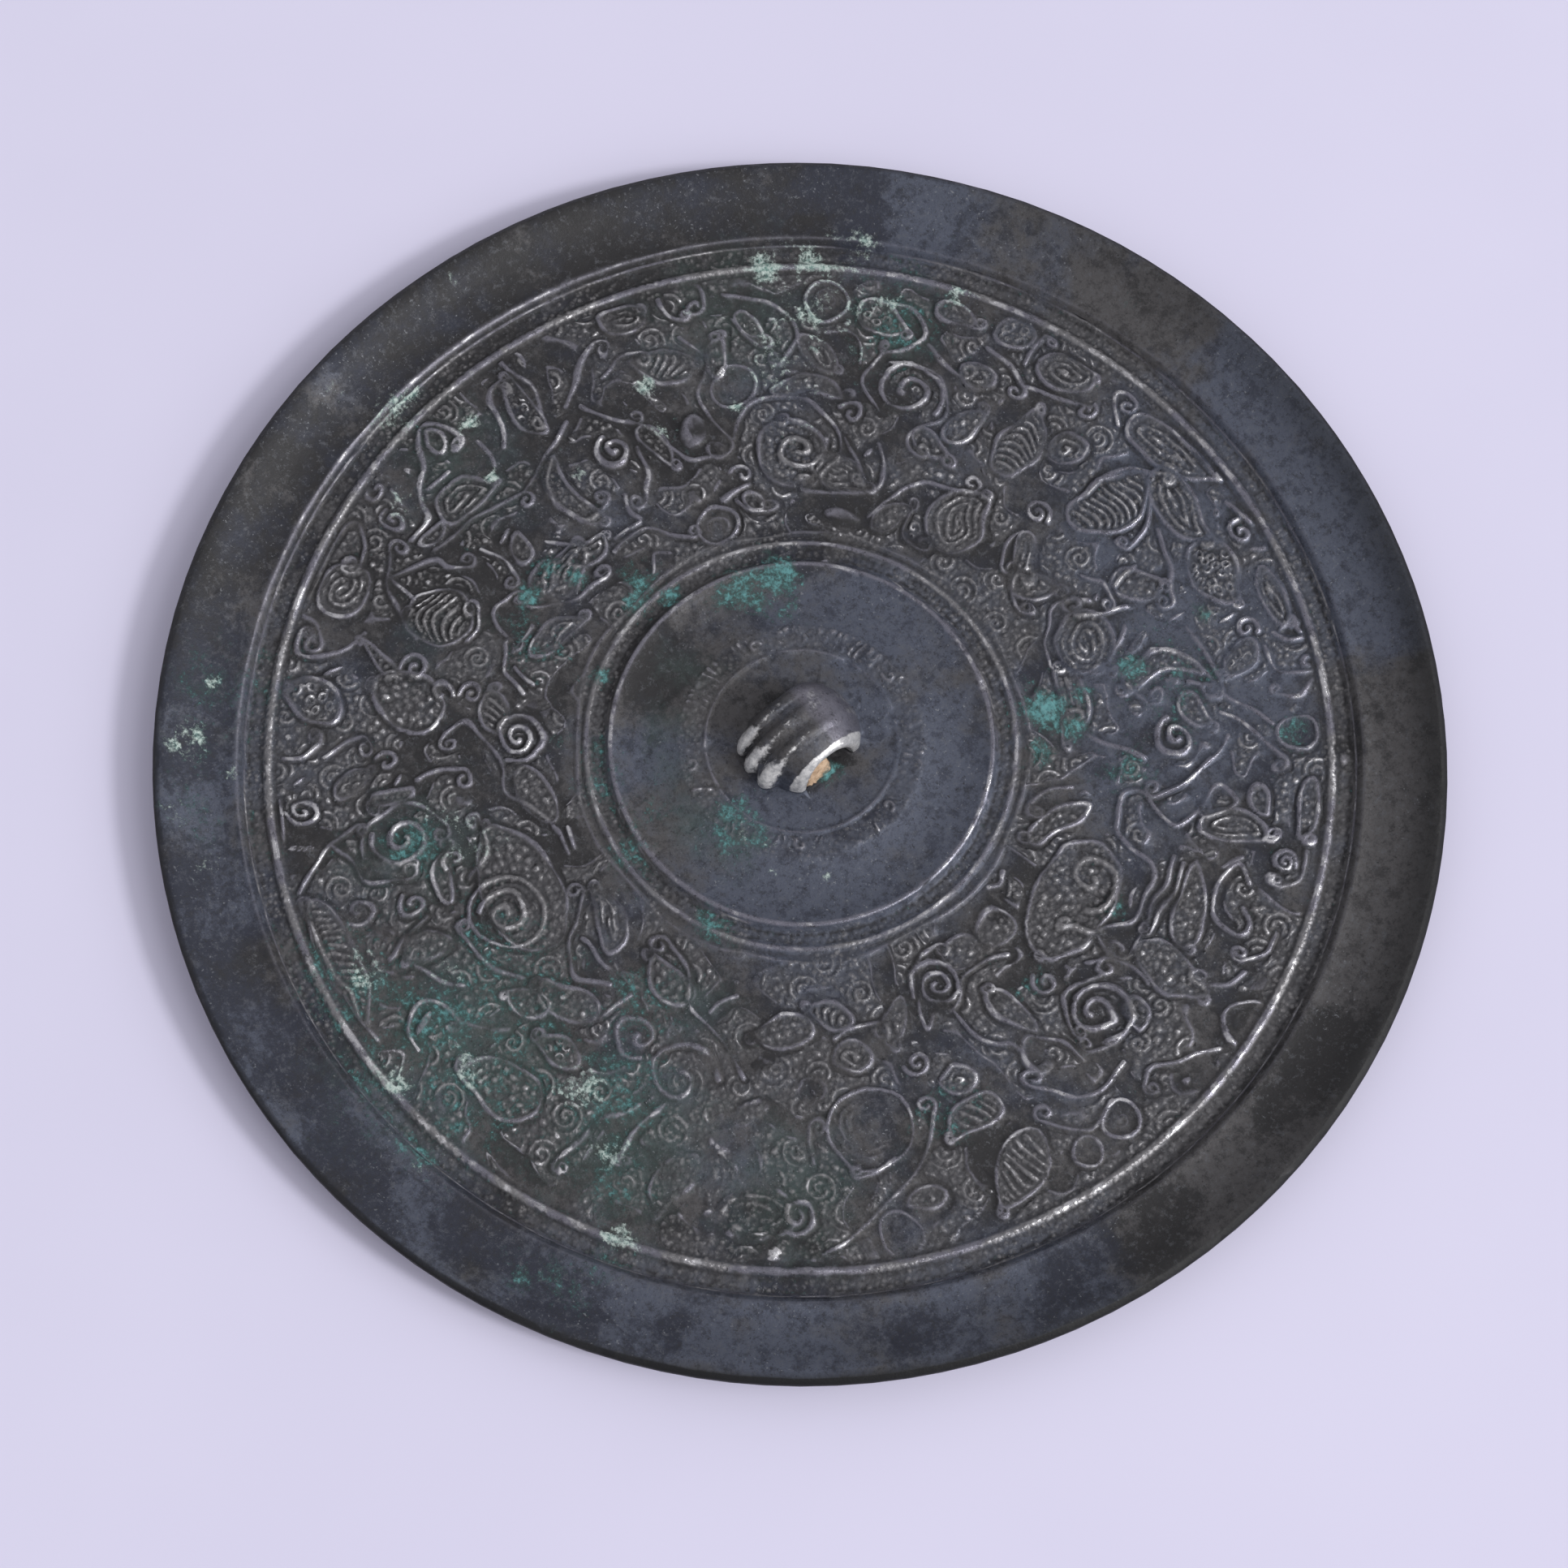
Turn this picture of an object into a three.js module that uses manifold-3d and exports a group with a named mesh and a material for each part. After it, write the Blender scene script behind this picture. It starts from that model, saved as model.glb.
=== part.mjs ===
import * as THREE from 'three';
import { mergeVertices } from 'three/addons/utils/BufferGeometryUtils.js';
import Module from 'manifold-3d';

// A cast bronze hand mirror, lying on its polished face with its decorated back up.
// One casting: a thin round plate with a raised wide rim, a field of interlaced dragons
// between two sunk rings, a plain hollowed band, and a small bridge knob ridged like
// three cords, with a tunnel through it for a silk cord.
// Millimetres. +Z is up, z = 0 is the polished face, +X runs along the knob's tunnel.

// ---- plate: heights above the polished face, and radii of the rings ----
const MIRROR_RADIUS = 80;
const OUTLINE_SIDES = 60;
const EDGE_BEVEL = 1.3;
const EDGE_BEVEL_HEIGHT = 0.8;
const EDGE_HEIGHT = 4.5;
const LIP_RADIUS = 77.4;
const LIP_HEIGHT = 5.8;
const LIP_CROWN_WIDTH = 1.6;
const LIP_CROWN_FALL = 0.2;
const LIP_SHOULDER_WIDTH = 2;
const LIP_SHOULDER_FALL = 0.9;
const RIM_RADIUS = 68.9;
const RIM_HEIGHT = 2.9;
const RIM_STEP_WIDTH = 0.4;
const RIM_FLAT_WIDTH = 3.4;
const RIM_FLAT_RISE = 0.15;
const FIELD_OUTER = 65.4;
const FIELD_INNER = 28.2;
const FIELD_HEIGHT = 1.6;
const FIELD_EDGE_WIDTH = 1.4;
const FIELD_STEP_WIDTH = 0.6;
const BEAD_RING_RADIUS = 66.1;
const BEAD_RING_RISE = 0.5;
const BEAD_RING_FALL = 1;
const GROOVE_HEIGHT = 1.15;
const GROOVE_INNER = 24.3;
const BAND_LIP_RADIUS = 23.8;
const BAND_LIP_HEIGHT = 2.7;
const BAND_LIP_WIDTH = 0.4;
const BAND_LIP_FALL = 0.1;
const BAND_LOW_RADIUS = 19.4;
const BAND_LOW_HEIGHT = 1.7;
const BAND_RISE_WIDTH = 1.6;
const BAND_RISE = 0.4;
const BAND_LEAD = 0.2;
const COLLAR_RADIUS = 15.3;
const COLLAR_HEIGHT = 2.35;
const COLLAR_SLOPE = 1.6;
const SEAT_RADIUS = 11.5;
const SEAT_HEIGHT = 2.2;
const SEAT_DISH = 0.1;
const SEAT_LINE_WIDTH = 1.2;
const SEAT_LINE_RISE = 0.35;

// ---- knob: a bridge over the tunnel, ridged with three cords ----
const KNOB_HALF_SPAN = 6.7;
const KNOB_HEIGHT = 6.6;
const KNOB_LENGTH = 10.4;
const KNOB_CROWN_SHARE = 0.86;
const KNOB_EDGE_ROUND = 1.1;
const KNOB_ROOT = 0.5;
const TUNNEL_HALF_WIDTH = 3.4;
const TUNNEL_HEIGHT = 4.85;
const TUNNEL_SQUARENESS = 2.7;
const ARCH_ROUNDNESS = 2.15;
const CORD_COUNT = 3;
const CORD_PITCH = 2.75;
const CORD_WIDTH = 1.7;
const CORD_RISE = 0.55;
const CORD_EDGE_ROUND = 0.45;
const CORD_SET_BACK = 0.6;
const ARCH_STEPS = 10;
const BRIDGE_SLICES = 4;
const CORD_SLICES = 2;

// ---- dragon relief ----
const UNIT_COUNT = 3;
const UNIT_START = 47.5;
const LINE_WIDTH = 0.95;
const LINE_RISE = 0.6;
const PAD_RISE = 0.4;
const RELIEF_ROOT = 0.4;
const LINE_TIP_SHARE = 0.22;
const SCROLL_WIND_IN = 0.8;
const SCROLL_STEPS_PER_TURN = 7;
const PAD_SHARPNESS = 0.6;
const PAD_STEPS = 4;
const FRAME_STEPS = 5;
const LONG_FRAME = 12;
const LONG_FRAME_STEPS = 6;
const NEARLY_STRAIGHT = 0.55;
const STROKE_STEP = 5;
const STROKE_MOST_STEPS = 4;
const ROUND = 0.5;
const WAVE_RADIUS = 29.3;
const WAVE_RISE = 0.5;
const WAVE_SWING = 0.55;
const WAVE_STEPS = 36;
const WAVE_COUNT = 9;

const wasm = await Module();
wasm.setup();

const radians = THREE.MathUtils.degToRad;

// ---------------------------------------------------------------- solids and joins

/** A closed three.js geometry as a solid that can be joined and cut. */
function toSolid(geometry) {
  const bare = geometry.clone();
  bare.deleteAttribute('normal');
  bare.deleteAttribute('uv');
  const merged = mergeVertices(bare, 1e-4);
  return new wasm.Manifold(new wasm.Mesh({
    numProp: 3,
    vertProperties: Float32Array.from(merged.attributes.position.array),
    triVerts: Uint32Array.from(merged.index.array),
  }));
}

/** A joined solid as a three.js geometry. */
function toGeometry(solid) {
  const mesh = solid.getMesh();
  const geometry = new THREE.BufferGeometry();
  geometry.setAttribute('position', new THREE.BufferAttribute(mesh.vertProperties, 3));
  geometry.setIndex(new THREE.BufferAttribute(mesh.triVerts, 1));
  geometry.computeVertexNormals();
  return geometry;
}

/** The same outline, running anticlockwise. */
function anticlockwise(points) {
  return THREE.ShapeUtils.isClockWise(points) ? [...points].reverse() : points;
}

/** A flat outline raised from the field's ground, rooted a little way into it. */
function raised(outline, rise, hole = null) {
  const shape = new THREE.Shape(anticlockwise(outline));
  if (hole) {
    shape.holes.push(new THREE.Path(anticlockwise(hole)));
  }
  const geometry = new THREE.ExtrudeGeometry(shape, {
    depth: rise + RELIEF_ROOT,
    bevelEnabled: false,
  });
  geometry.translate(0, 0, FIELD_HEIGHT - RELIEF_ROOT);
  return toSolid(geometry);
}

// ---------------------------------------------------------------- the plate

/** The plate's section from the axis out and back, turned round the axis. */
function plate() {
  const section = [
    [0, SEAT_HEIGHT - SEAT_DISH],
    [SEAT_RADIUS, SEAT_HEIGHT],
    [SEAT_RADIUS + SEAT_LINE_WIDTH / 2, SEAT_HEIGHT + SEAT_LINE_RISE],
    [SEAT_RADIUS + SEAT_LINE_WIDTH, COLLAR_HEIGHT - SEAT_DISH],
    [COLLAR_RADIUS, COLLAR_HEIGHT],
    [COLLAR_RADIUS + COLLAR_SLOPE, BAND_LOW_HEIGHT + BAND_LEAD],
    [BAND_LOW_RADIUS, BAND_LOW_HEIGHT],
    [BAND_LIP_RADIUS - BAND_RISE_WIDTH, BAND_LOW_HEIGHT + BAND_RISE],
    [BAND_LIP_RADIUS - BAND_LIP_WIDTH / 2, BAND_LIP_HEIGHT],
    [BAND_LIP_RADIUS + BAND_LIP_WIDTH / 2, BAND_LIP_HEIGHT - BAND_LIP_FALL],
    [GROOVE_INNER, GROOVE_HEIGHT],
    [FIELD_INNER - FIELD_STEP_WIDTH - FIELD_EDGE_WIDTH, GROOVE_HEIGHT],
    [FIELD_INNER - FIELD_EDGE_WIDTH, FIELD_HEIGHT],
    [FIELD_OUTER, FIELD_HEIGHT],
    [BEAD_RING_RADIUS, FIELD_HEIGHT + BEAD_RING_RISE],
    [BEAD_RING_RADIUS + BEAD_RING_FALL, GROOVE_HEIGHT],
    [RIM_RADIUS - RIM_STEP_WIDTH, GROOVE_HEIGHT],
    [RIM_RADIUS, RIM_HEIGHT],
    [RIM_RADIUS + RIM_FLAT_WIDTH, RIM_HEIGHT + RIM_FLAT_RISE],
    [LIP_RADIUS - LIP_SHOULDER_WIDTH, LIP_HEIGHT - LIP_SHOULDER_FALL],
    [LIP_RADIUS, LIP_HEIGHT],
    [LIP_RADIUS + LIP_CROWN_WIDTH, LIP_HEIGHT - LIP_CROWN_FALL],
    [MIRROR_RADIUS, EDGE_HEIGHT],
    [MIRROR_RADIUS, EDGE_BEVEL_HEIGHT],
    [MIRROR_RADIUS - EDGE_BEVEL, 0],
    [0, 0],
  ];
  const profile = section.map(([radius, height]) => new THREE.Vector2(radius, height)).reverse();
  const lathe = new THREE.LatheGeometry(profile, OUTLINE_SIDES);
  lathe.rotateX(Math.PI / 2);
  return toSolid(lathe);
}

// ---------------------------------------------------------------- the knob

/** Points over an arch, from +span to -span, as (across, up). */
function archPoints(halfSpan, height, squareness, steps) {
  return Array.from({ length: steps + 1 }, (_, i) => {
    const angle = (Math.PI * i) / steps;
    const across = Math.abs(Math.cos(angle)) ** (2 / squareness) * Math.sign(Math.cos(angle));
    const up = Math.sin(angle) ** (2 / squareness);
    return new THREE.Vector2(halfSpan * across, height * up);
  });
}

/** An arch grown outward from the bridge, with its inside set back from the tunnel's wall. */
function bridge(grown, setBack, length, x, slices, edgeRound) {
  const halfSpan = KNOB_HALF_SPAN + grown;
  const halfWidth = TUNNEL_HALF_WIDTH + setBack;
  const outer = archPoints(halfSpan, KNOB_HEIGHT + grown, ARCH_ROUNDNESS, ARCH_STEPS);
  const inner = archPoints(halfWidth, TUNNEL_HEIGHT + setBack, TUNNEL_SQUARENESS, ARCH_STEPS);
  const shape = new THREE.Shape([
    new THREE.Vector2(halfSpan, -KNOB_ROOT),
    ...outer,
    new THREE.Vector2(-halfSpan, -KNOB_ROOT),
    new THREE.Vector2(-halfWidth, -KNOB_ROOT),
    ...inner.reverse(),
    new THREE.Vector2(halfWidth, -KNOB_ROOT),
  ]);
  const geometry = new THREE.ExtrudeGeometry(shape, { depth: 2, steps: slices, bevelEnabled: false });
  geometry.translate(0, 0, -1);
  roundEnds(geometry, length / 2, edgeRound);
  geometry.translate(0, 0, x);
  geometry.applyMatrix4(new THREE.Matrix4().makeBasis(
    new THREE.Vector3(0, 1, 0),
    new THREE.Vector3(0, 0, 1),
    new THREE.Vector3(1, 0, 0),
  ));
  narrowTowardsCrown(geometry);
  geometry.translate(0, 0, SEAT_HEIGHT);
  return toSolid(geometry);
}

/** Stretches slices at -1 to 1 over the arch's length, and draws its outside in at the ends. */
function roundEnds(geometry, halfLength, edgeRound) {
  const position = geometry.attributes.position;
  for (let i = 0; i < position.count; i += 1) {
    const share = Math.sin((Math.PI / 2) * position.getZ(i));
    const reach = Math.hypot(position.getX(i), position.getY(i));
    const outside = reach > (KNOB_HALF_SPAN + TUNNEL_HEIGHT) / 2;
    const drawIn = outside ? edgeRound * (1 - Math.sqrt(1 - Math.min(share * share, 1))) : 0;
    position.setX(i, position.getX(i) * (1 - drawIn / reach));
    position.setY(i, position.getY(i) * (1 - drawIn / reach));
    position.setZ(i, halfLength * share);
  }
}

/** The knob is longer at its feet than over its crown. */
function narrowTowardsCrown(geometry) {
  const position = geometry.attributes.position;
  for (let i = 0; i < position.count; i += 1) {
    const share = THREE.MathUtils.clamp(position.getZ(i) / KNOB_HEIGHT, 0, 1);
    position.setX(i, position.getX(i) * THREE.MathUtils.lerp(1, KNOB_CROWN_SHARE, share * share));
  }
}

function knob() {
  let solid = bridge(0, 0, KNOB_LENGTH, 0, BRIDGE_SLICES, KNOB_EDGE_ROUND);
  for (let i = 0; i < CORD_COUNT; i += 1) {
    const x = (i - (CORD_COUNT - 1) / 2) * CORD_PITCH;
    solid = solid.add(bridge(
      CORD_RISE, CORD_SET_BACK, CORD_WIDTH, x, CORD_SLICES, CORD_EDGE_ROUND,
    ));
  }
  return solid;
}

// ---------------------------------------------------------------- relief outlines

/** A point of the field: turn in degrees clockwise from the unit's start, and radius. */
function fieldPoint(unit, turn, radius) {
  const angle = radians(UNIT_START + (360 / UNIT_COUNT) * unit - turn);
  return new THREE.Vector2(radius * Math.cos(angle), radius * Math.sin(angle));
}

/** Places a motif drawn about (0, 0), with x clockwise round the mirror and y outward. */
function place(points, unit, turn, radius) {
  const centre = fieldPoint(unit, turn, radius);
  const outward = centre.clone().normalize();
  const clockwise = new THREE.Vector2(outward.y, -outward.x);
  return points.map(({ x, y }) => centre.clone()
    .addScaledVector(clockwise, x)
    .addScaledVector(outward, y));
}

/** A leaf, bean or comma: an outline round a bent middle line, blunt or sharp at each end. */
function leafOutline(length, width, heading, bend, head, tail, steps) {
  const crest = head / (head + tail);
  const peak = crest ** head * (1 - crest) ** tail;
  const start = radians(heading);
  const curve = radians(bend) / length;
  const left = [];
  const right = [];
  for (let i = 0; i <= steps; i += 1) {
    const share = 0.5 - 0.5 * Math.cos((Math.PI * i) / steps);
    const along = (share - 0.5) * length;
    const angle = start + curve * along;
    const x = bend === 0 ? along * Math.cos(start) : (Math.sin(angle) - Math.sin(start)) / curve;
    const y = bend === 0 ? along * Math.sin(start) : (Math.cos(start) - Math.cos(angle)) / curve;
    const half = (0.5 * width * share ** head * (1 - share) ** tail) / peak;
    left.push({ x: x - half * Math.sin(angle), y: y + half * Math.cos(angle) });
    right.unshift({ x: x + half * Math.sin(angle), y: y - half * Math.cos(angle) });
  }
  return [...left, ...right.slice(1, -1)];
}

/** The middle line of a scroll that winds in to its eye. */
function scrollLine(radius, turns, start, hand, steps) {
  return Array.from({ length: steps + 1 }, (_, i) => {
    const share = i / steps;
    const reach = radius * (1 - SCROLL_WIND_IN * share);
    const angle = radians(start) + hand * 2 * Math.PI * turns * share;
    return { x: reach * Math.cos(angle), y: reach * Math.sin(angle) };
  });
}

/** The middle line of a stroke between two field points, bowed to the left by bow. */
function strokeLine(unit, [turnA, radiusA, turnB, radiusB, bow], steps) {
  const from = fieldPoint(unit, turnA, radiusA);
  const to = fieldPoint(unit, turnB, radiusB);
  const along = to.clone().sub(from);
  const side = new THREE.Vector2(-along.y, along.x).normalize();
  return Array.from({ length: steps + 1 }, (_, i) => {
    const share = i / steps;
    return from.clone()
      .addScaledVector(along, share)
      .addScaledVector(side, 4 * bow * share * (1 - share));
  });
}

/** An outline of even width along a middle line, drawn to a point at its ends. */
function lineOutline(points, width) {
  const left = [];
  const right = [];
  points.forEach((point, i) => {
    const before = points[Math.max(i - 1, 0)];
    const after = points[Math.min(i + 1, points.length - 1)];
    const along = after.clone().sub(before).normalize();
    const atEnd = i === 0 || i === points.length - 1;
    const half = atEnd ? LINE_TIP_SHARE * width : width / 2;
    left.push(new THREE.Vector2(point.x - along.y * half, point.y + along.x * half));
    right.unshift(new THREE.Vector2(point.x + along.y * half, point.y - along.x * half));
  });
  return [...left, ...right];
}

// ---------------------------------------------------------------- relief motifs

/** A framed window: a thin raised edge round a leaf outline. */
function framedLeaf(unit, [turn, radius, length, width, heading, bend, head, tail]) {
  const steps = length > LONG_FRAME ? LONG_FRAME_STEPS : FRAME_STEPS;
  const [outer, inner] = [LINE_WIDTH, -LINE_WIDTH].map((grown) => leafOutline(
    length + grown, width + grown, heading, (bend * (length + grown)) / length, head, tail, steps,
  ));
  return raised(place(outer, unit, turn, radius), LINE_RISE, place(inner, unit, turn, radius));
}

/** A small raised leaf. */
function pad(unit, [turn, radius, length, width, heading]) {
  const outline = leafOutline(
    length, width, heading, 0, PAD_SHARPNESS, PAD_SHARPNESS, PAD_STEPS,
  );
  return raised(place(outline, unit, turn, radius), PAD_RISE);
}

function scroll(unit, [turn, radius, size, turns, start, hand]) {
  const steps = Math.round(SCROLL_STEPS_PER_TURN * turns);
  const line = place(scrollLine(size, turns, start, hand, steps), unit, turn, radius);
  return raised(lineOutline(line, LINE_WIDTH), LINE_RISE);
}

function roundel(unit, [turn, radius, size, count]) {
  const rings = [];
  for (let i = 0; i < count; i += 1) {
    const ring = (size * (count - i)) / count;
    const [outer, inner] = [LINE_WIDTH, -LINE_WIDTH].map((grown) => place(leafOutline(
      2 * ring + grown, 2 * ring + grown, 0, 0, ROUND, ROUND, FRAME_STEPS,
    ), unit, turn, radius));
    rings.push(raised(outer, LINE_RISE, inner));
  }
  return wasm.Manifold.union(rings);
}

function stroke(unit, row) {
  const span = fieldPoint(unit, row[0], row[1]).distanceTo(fieldPoint(unit, row[2], row[3]));
  const bowed = Math.min(STROKE_MOST_STEPS, 2 + Math.round(span / STROKE_STEP));
  const steps = Math.abs(row[4]) < NEARLY_STRAIGHT ? 1 : bowed;
  return raised(lineOutline(strokeLine(unit, row, steps), LINE_WIDTH), LINE_RISE);
}

/** The thin waving line that runs round the foot of the field. */
function waveLine() {
  const ring = (offset) => Array.from({ length: WAVE_STEPS }, (_, i) => {
    const angle = (2 * Math.PI * i) / WAVE_STEPS;
    const radius = WAVE_RADIUS + WAVE_SWING * Math.sin(WAVE_COUNT * angle) + offset;
    return new THREE.Vector2(radius * Math.cos(angle), radius * Math.sin(angle));
  });
  return raised(ring(LINE_WIDTH / 2), WAVE_RISE, ring(-LINE_WIDTH / 2));
}

// ---------------------------------------------------------------- where the motifs go

// Each unit fills a third of the field. All three repeat one plan, cut by hand, so every
// motif shifts a little from one unit to the next. Turns are degrees clockwise from the
// unit's start and radii are millimetres from the axis.
//   frames: turn, radius, length, width, heading, bend, head, tail
//   pads: turn, radius, length, width, heading
//   scrolls: turn, radius, size, turns, start, hand
//   roundels: turn, radius, size, count
//   strokes: turn, radius to turn, radius, bow
const UNITS = [
  {
    frames: [
      [29.0, 38.9, 16.3, 9.6, 0, 25, 0.40, 0.50],
      [8.6, 55.1, 7.4, 4.6, 90, 0, 0.50, 0.50],
      [30.4, 53.4, 10.5, 5.2, 84, 15, 0.45, 0.60],
      [61.4, 60.2, 8.6, 5.4, 42, 0, 0.50, 0.50],
      [63.6, 51.0, 6.4, 4.4, 12, 0, 0.50, 0.50],
      [15.2, 33.4, 9.4, 3.0, -44, 28, 0.60, 0.45],
      [70.2, 37.3, 6.2, 2.6, 62, 0, 0.60, 0.50],
      [92.6, 59.6, 8.4, 6.4, 0, 0, 0.50, 0.50],
    ],
    pads: [[94.6, 47.2, 4.4, 2.0, 52], [50.9, 43.4, 5.6, 2.4, -70], [81.2, 35.2, 5.0, 3.0, -30]],
    scrolls: [
      [23.6, 39.9, 3.6, 1.2, 10, 1],
      [41.0, 49.7, 4.0, 1.7, 60, 1],
      [59.6, 35.2, 3.5, 1.6, 0, -1],
      [106.0, 45.4, 4.8, 1.1, 200, 1],
    ],
    roundels: [[77.7, 49.3, 4.8, 2]],
    strokes: [
      [14.8, 42.6, 24.5, 46.9, 2.2], [24.5, 46.9, 34.4, 40.4, 1.4], [14.8, 42.6, 5.6, 43.2, 2.3],
      [5.6, 43.2, 9.9, 48.0, -0.5], [0.6, 50.6, 5.6, 45.4, 0.5], [16.5, 54.4, 22.3, 58.6, -1.8],
      [15.0, 48.2, 32.0, 48.0, 0.6], [43.4, 56.4, 55.0, 52.3, 2.6], [56.0, 44.8, 59.4, 38.8, 0.5],
      [45.0, 37.2, 54.0, 36.2, -0.5], [65.0, 39.4, 54.8, 30.9, 2.2], [48.4, 59.2, 57.0, 56.0, 0.7],
      [84.2, 63.8, 68.2, 49.4, 1.6], [7.2, 34.0, 14.8, 30.4, -1.0], [96.4, 43.2, 108.0, 37.2, -0.6],
      [107.0, 48.8, 110.4, 56.6, -0.4], [110.6, 50.4, 116.6, 60.6, -0.5],
    ],
  },
  {
    frames: [
      [25.2, 39.6, 9.4, 8.6, 90, 0, 0.45, 0.45],
      [35.2, 37.2, 6.2, 4.6, -12, 0, 0.50, 0.50],
      [8.0, 54.6, 8.2, 4.4, -24, 0, 0.80, 0.50],
      [61.4, 61.6, 7.2, 5.4, 18, 0, 0.50, 0.50],
      [62.3, 50.2, 8.6, 6.0, 92, 0, 0.50, 0.50],
      [78.2, 51.2, 9.6, 7.0, 78, 0, 0.50, 0.50],
      [83.4, 58.6, 9.0, 4.2, -6, 0, 0.50, 0.50],
      [96.4, 38.2, 8.6, 6.6, -8, 0, 0.50, 0.60],
      [60.9, 36.5, 8.4, 7.0, 90, 0, 0.50, 0.50],
      [103.6, 46.6, 12.0, 2.8, -90, 130, 0.70, 0.45],
    ],
    pads: [[99.8, 56.2, 3.0, 1.2, -66], [97.3, 50.5, 2.8, 1.2, -76], [47.2, 33.2, 5.2, 2.6, 44]],
    scrolls: [[43.2, 50.4, 4.4, 1.7, -30, 1], [26.4, 40.2, 2.8, 1.1, 20, -1]],
    roundels: [[30.3, 61.3, 2.6, 1], [17.3, 49.4, 2.8, 1]],
    strokes: [
      [15.4, 42.4, 26.0, 47.3, 2.2], [26.0, 47.3, 34.9, 39.9, 1.8], [42.2, 36.0, 27.6, 34.2, 0.5],
      [42.2, 32.1, 51.0, 38.4, 0.8], [11.4, 57.9, 12.0, 49.4, 2.0], [12.0, 49.4, 14.9, 42.6, -0.5],
      [0.4, 49.4, 5.2, 43.6, 0.8], [5.2, 43.6, 12.2, 40.4, -1.2], [18.0, 63.2, 26.8, 57.0, 1.7],
      [26.8, 57.0, 24.4, 52.0, 0.5], [38.6, 54.6, 39.8, 46.5, -2.6], [51.4, 60.1, 58.0, 57.0, 0.5],
      [109.2, 53.2, 114.4, 59.0, 0.2], [112.2, 53.2, 119.2, 60.2, 0.3], [89.4, 41.0, 99.0, 33.0, -2.0],
      [84.8, 54.2, 95.0, 50.8, 0.8], [119.6, 42.8, 112.0, 33.6, 0.9], [99.6, 51.2, 107.0, 53.0, 0.4],
    ],
  },
  {
    frames: [
      [6.6, 56.8, 9.0, 6.8, 0, 0, 0.50, 0.50],
      [28.8, 38.9, 17.0, 8.6, -2, 24, 0.42, 0.60],
      [30.4, 62.6, 16.6, 4.0, -1, 0, 0.70, 0.50],
      [63.3, 49.6, 9.6, 7.4, 62, 0, 0.45, 0.55],
      [77.3, 48.6, 8.6, 7.4, 96, 0, 0.50, 0.45],
      [94.6, 54.2, 7.4, 4.2, -8, 0, 0.50, 0.50],
      [76.4, 61.2, 7.4, 6.0, 0, 0, 0.45, 0.45],
      [104.8, 44.8, 11.6, 3.2, -90, 110, 0.60, 0.50],
      [95.0, 37.6, 7.2, 5.0, 14, 0, 0.50, 0.50],
      [62.2, 61.2, 6.6, 4.8, 62, 0, 0.50, 0.50],
    ],
    pads: [[19.0, 58.0, 3.6, 1.6, -60], [93.4, 46.8, 2.6, 1.2, -6], [45.0, 33.6, 7.6, 2.8, 18]],
    scrolls: [[42.6, 51.0, 3.8, 1.6, 70, 1], [26.0, 42.2, 3.2, 1.2, 60, -1], [58.5, 35.2, 3.4, 1.4, 150, 1]],
    roundels: [],
    strokes: [
      [16.6, 60.6, 21.5, 57.2, 1.3], [21.5, 57.2, 11.0, 51.2, 1.3], [28.2, 57.6, 30.2, 51.2, 0.2],
      [39.4, 64.0, 45.6, 56.2, 1.2], [44.0, 58.9, 36.5, 51.4, -2.2], [40.0, 56.4, 47.9, 50.4, 2.4],
      [47.9, 50.4, 43.0, 45.6, 1.0], [15.0, 45.8, 26.6, 48.7, 1.2], [33.2, 45.6, 42.6, 42.0, -1.4],
      [30.4, 32.0, 44.4, 35.8, -0.5], [44.4, 35.8, 60.2, 41.8, 0.6], [72.8, 50.2, 83.2, 58.2, 1.6],
      [67.8, 35.2, 76.0, 39.6, 1.4], [85.8, 56.6, 91.4, 58.6, -1.1], [91.4, 58.6, 98.4, 64.8, -0.1],
      [104.0, 34.7, 120.0, 30.9, 0.9], [110.2, 64.8, 110.4, 55.0, 1.4], [113.4, 55.2, 119.6, 60.6, 0.6],
    ],
  },
];

function relief() {
  const pieces = [waveLine()];
  UNITS.forEach((motifs, unit) => {
    pieces.push(...motifs.frames.map((row) => framedLeaf(unit, row)));
    pieces.push(...motifs.pads.map((row) => pad(unit, row)));
    pieces.push(...motifs.scrolls.map((row) => scroll(unit, row)));
    pieces.push(...motifs.roundels.map((row) => roundel(unit, row)));
    pieces.push(...motifs.strokes.map((row) => stroke(unit, row)));
  });
  return wasm.Manifold.union(pieces);
}

// ---------------------------------------------------------------- the casting

const bronze = new THREE.MeshStandardMaterial({
  color: 0x4b4a4e,
  roughness: 0.38,
  metalness: 0.85,
});

const casting = plate().add(knob()).add(relief());

const mirror = new THREE.Mesh(toGeometry(casting), bronze);
mirror.name = 'mirror';

const model = new THREE.Group();
model.add(mirror);

export default model;
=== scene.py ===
# %% [markdown]
# # A cast bronze mirror lying face down
# The object is one bronze casting: a round plate, polished on one side, with a relief of
# interlaced dragons and a small bridge knob on the other. It lies on its polished face.
# We load the packed solid first. It is the frame: everything below is made in its axes,
# with +X along the tunnel through the knob, +Z up, and the polished face at z = 0. Blender
# works in metres, but a founder thinks in millimetres, so MM turns one into the other.

# %% Load the frame
import math
import bmesh
import bpy
import numpy as np
from mathutils import Matrix, Vector


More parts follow.
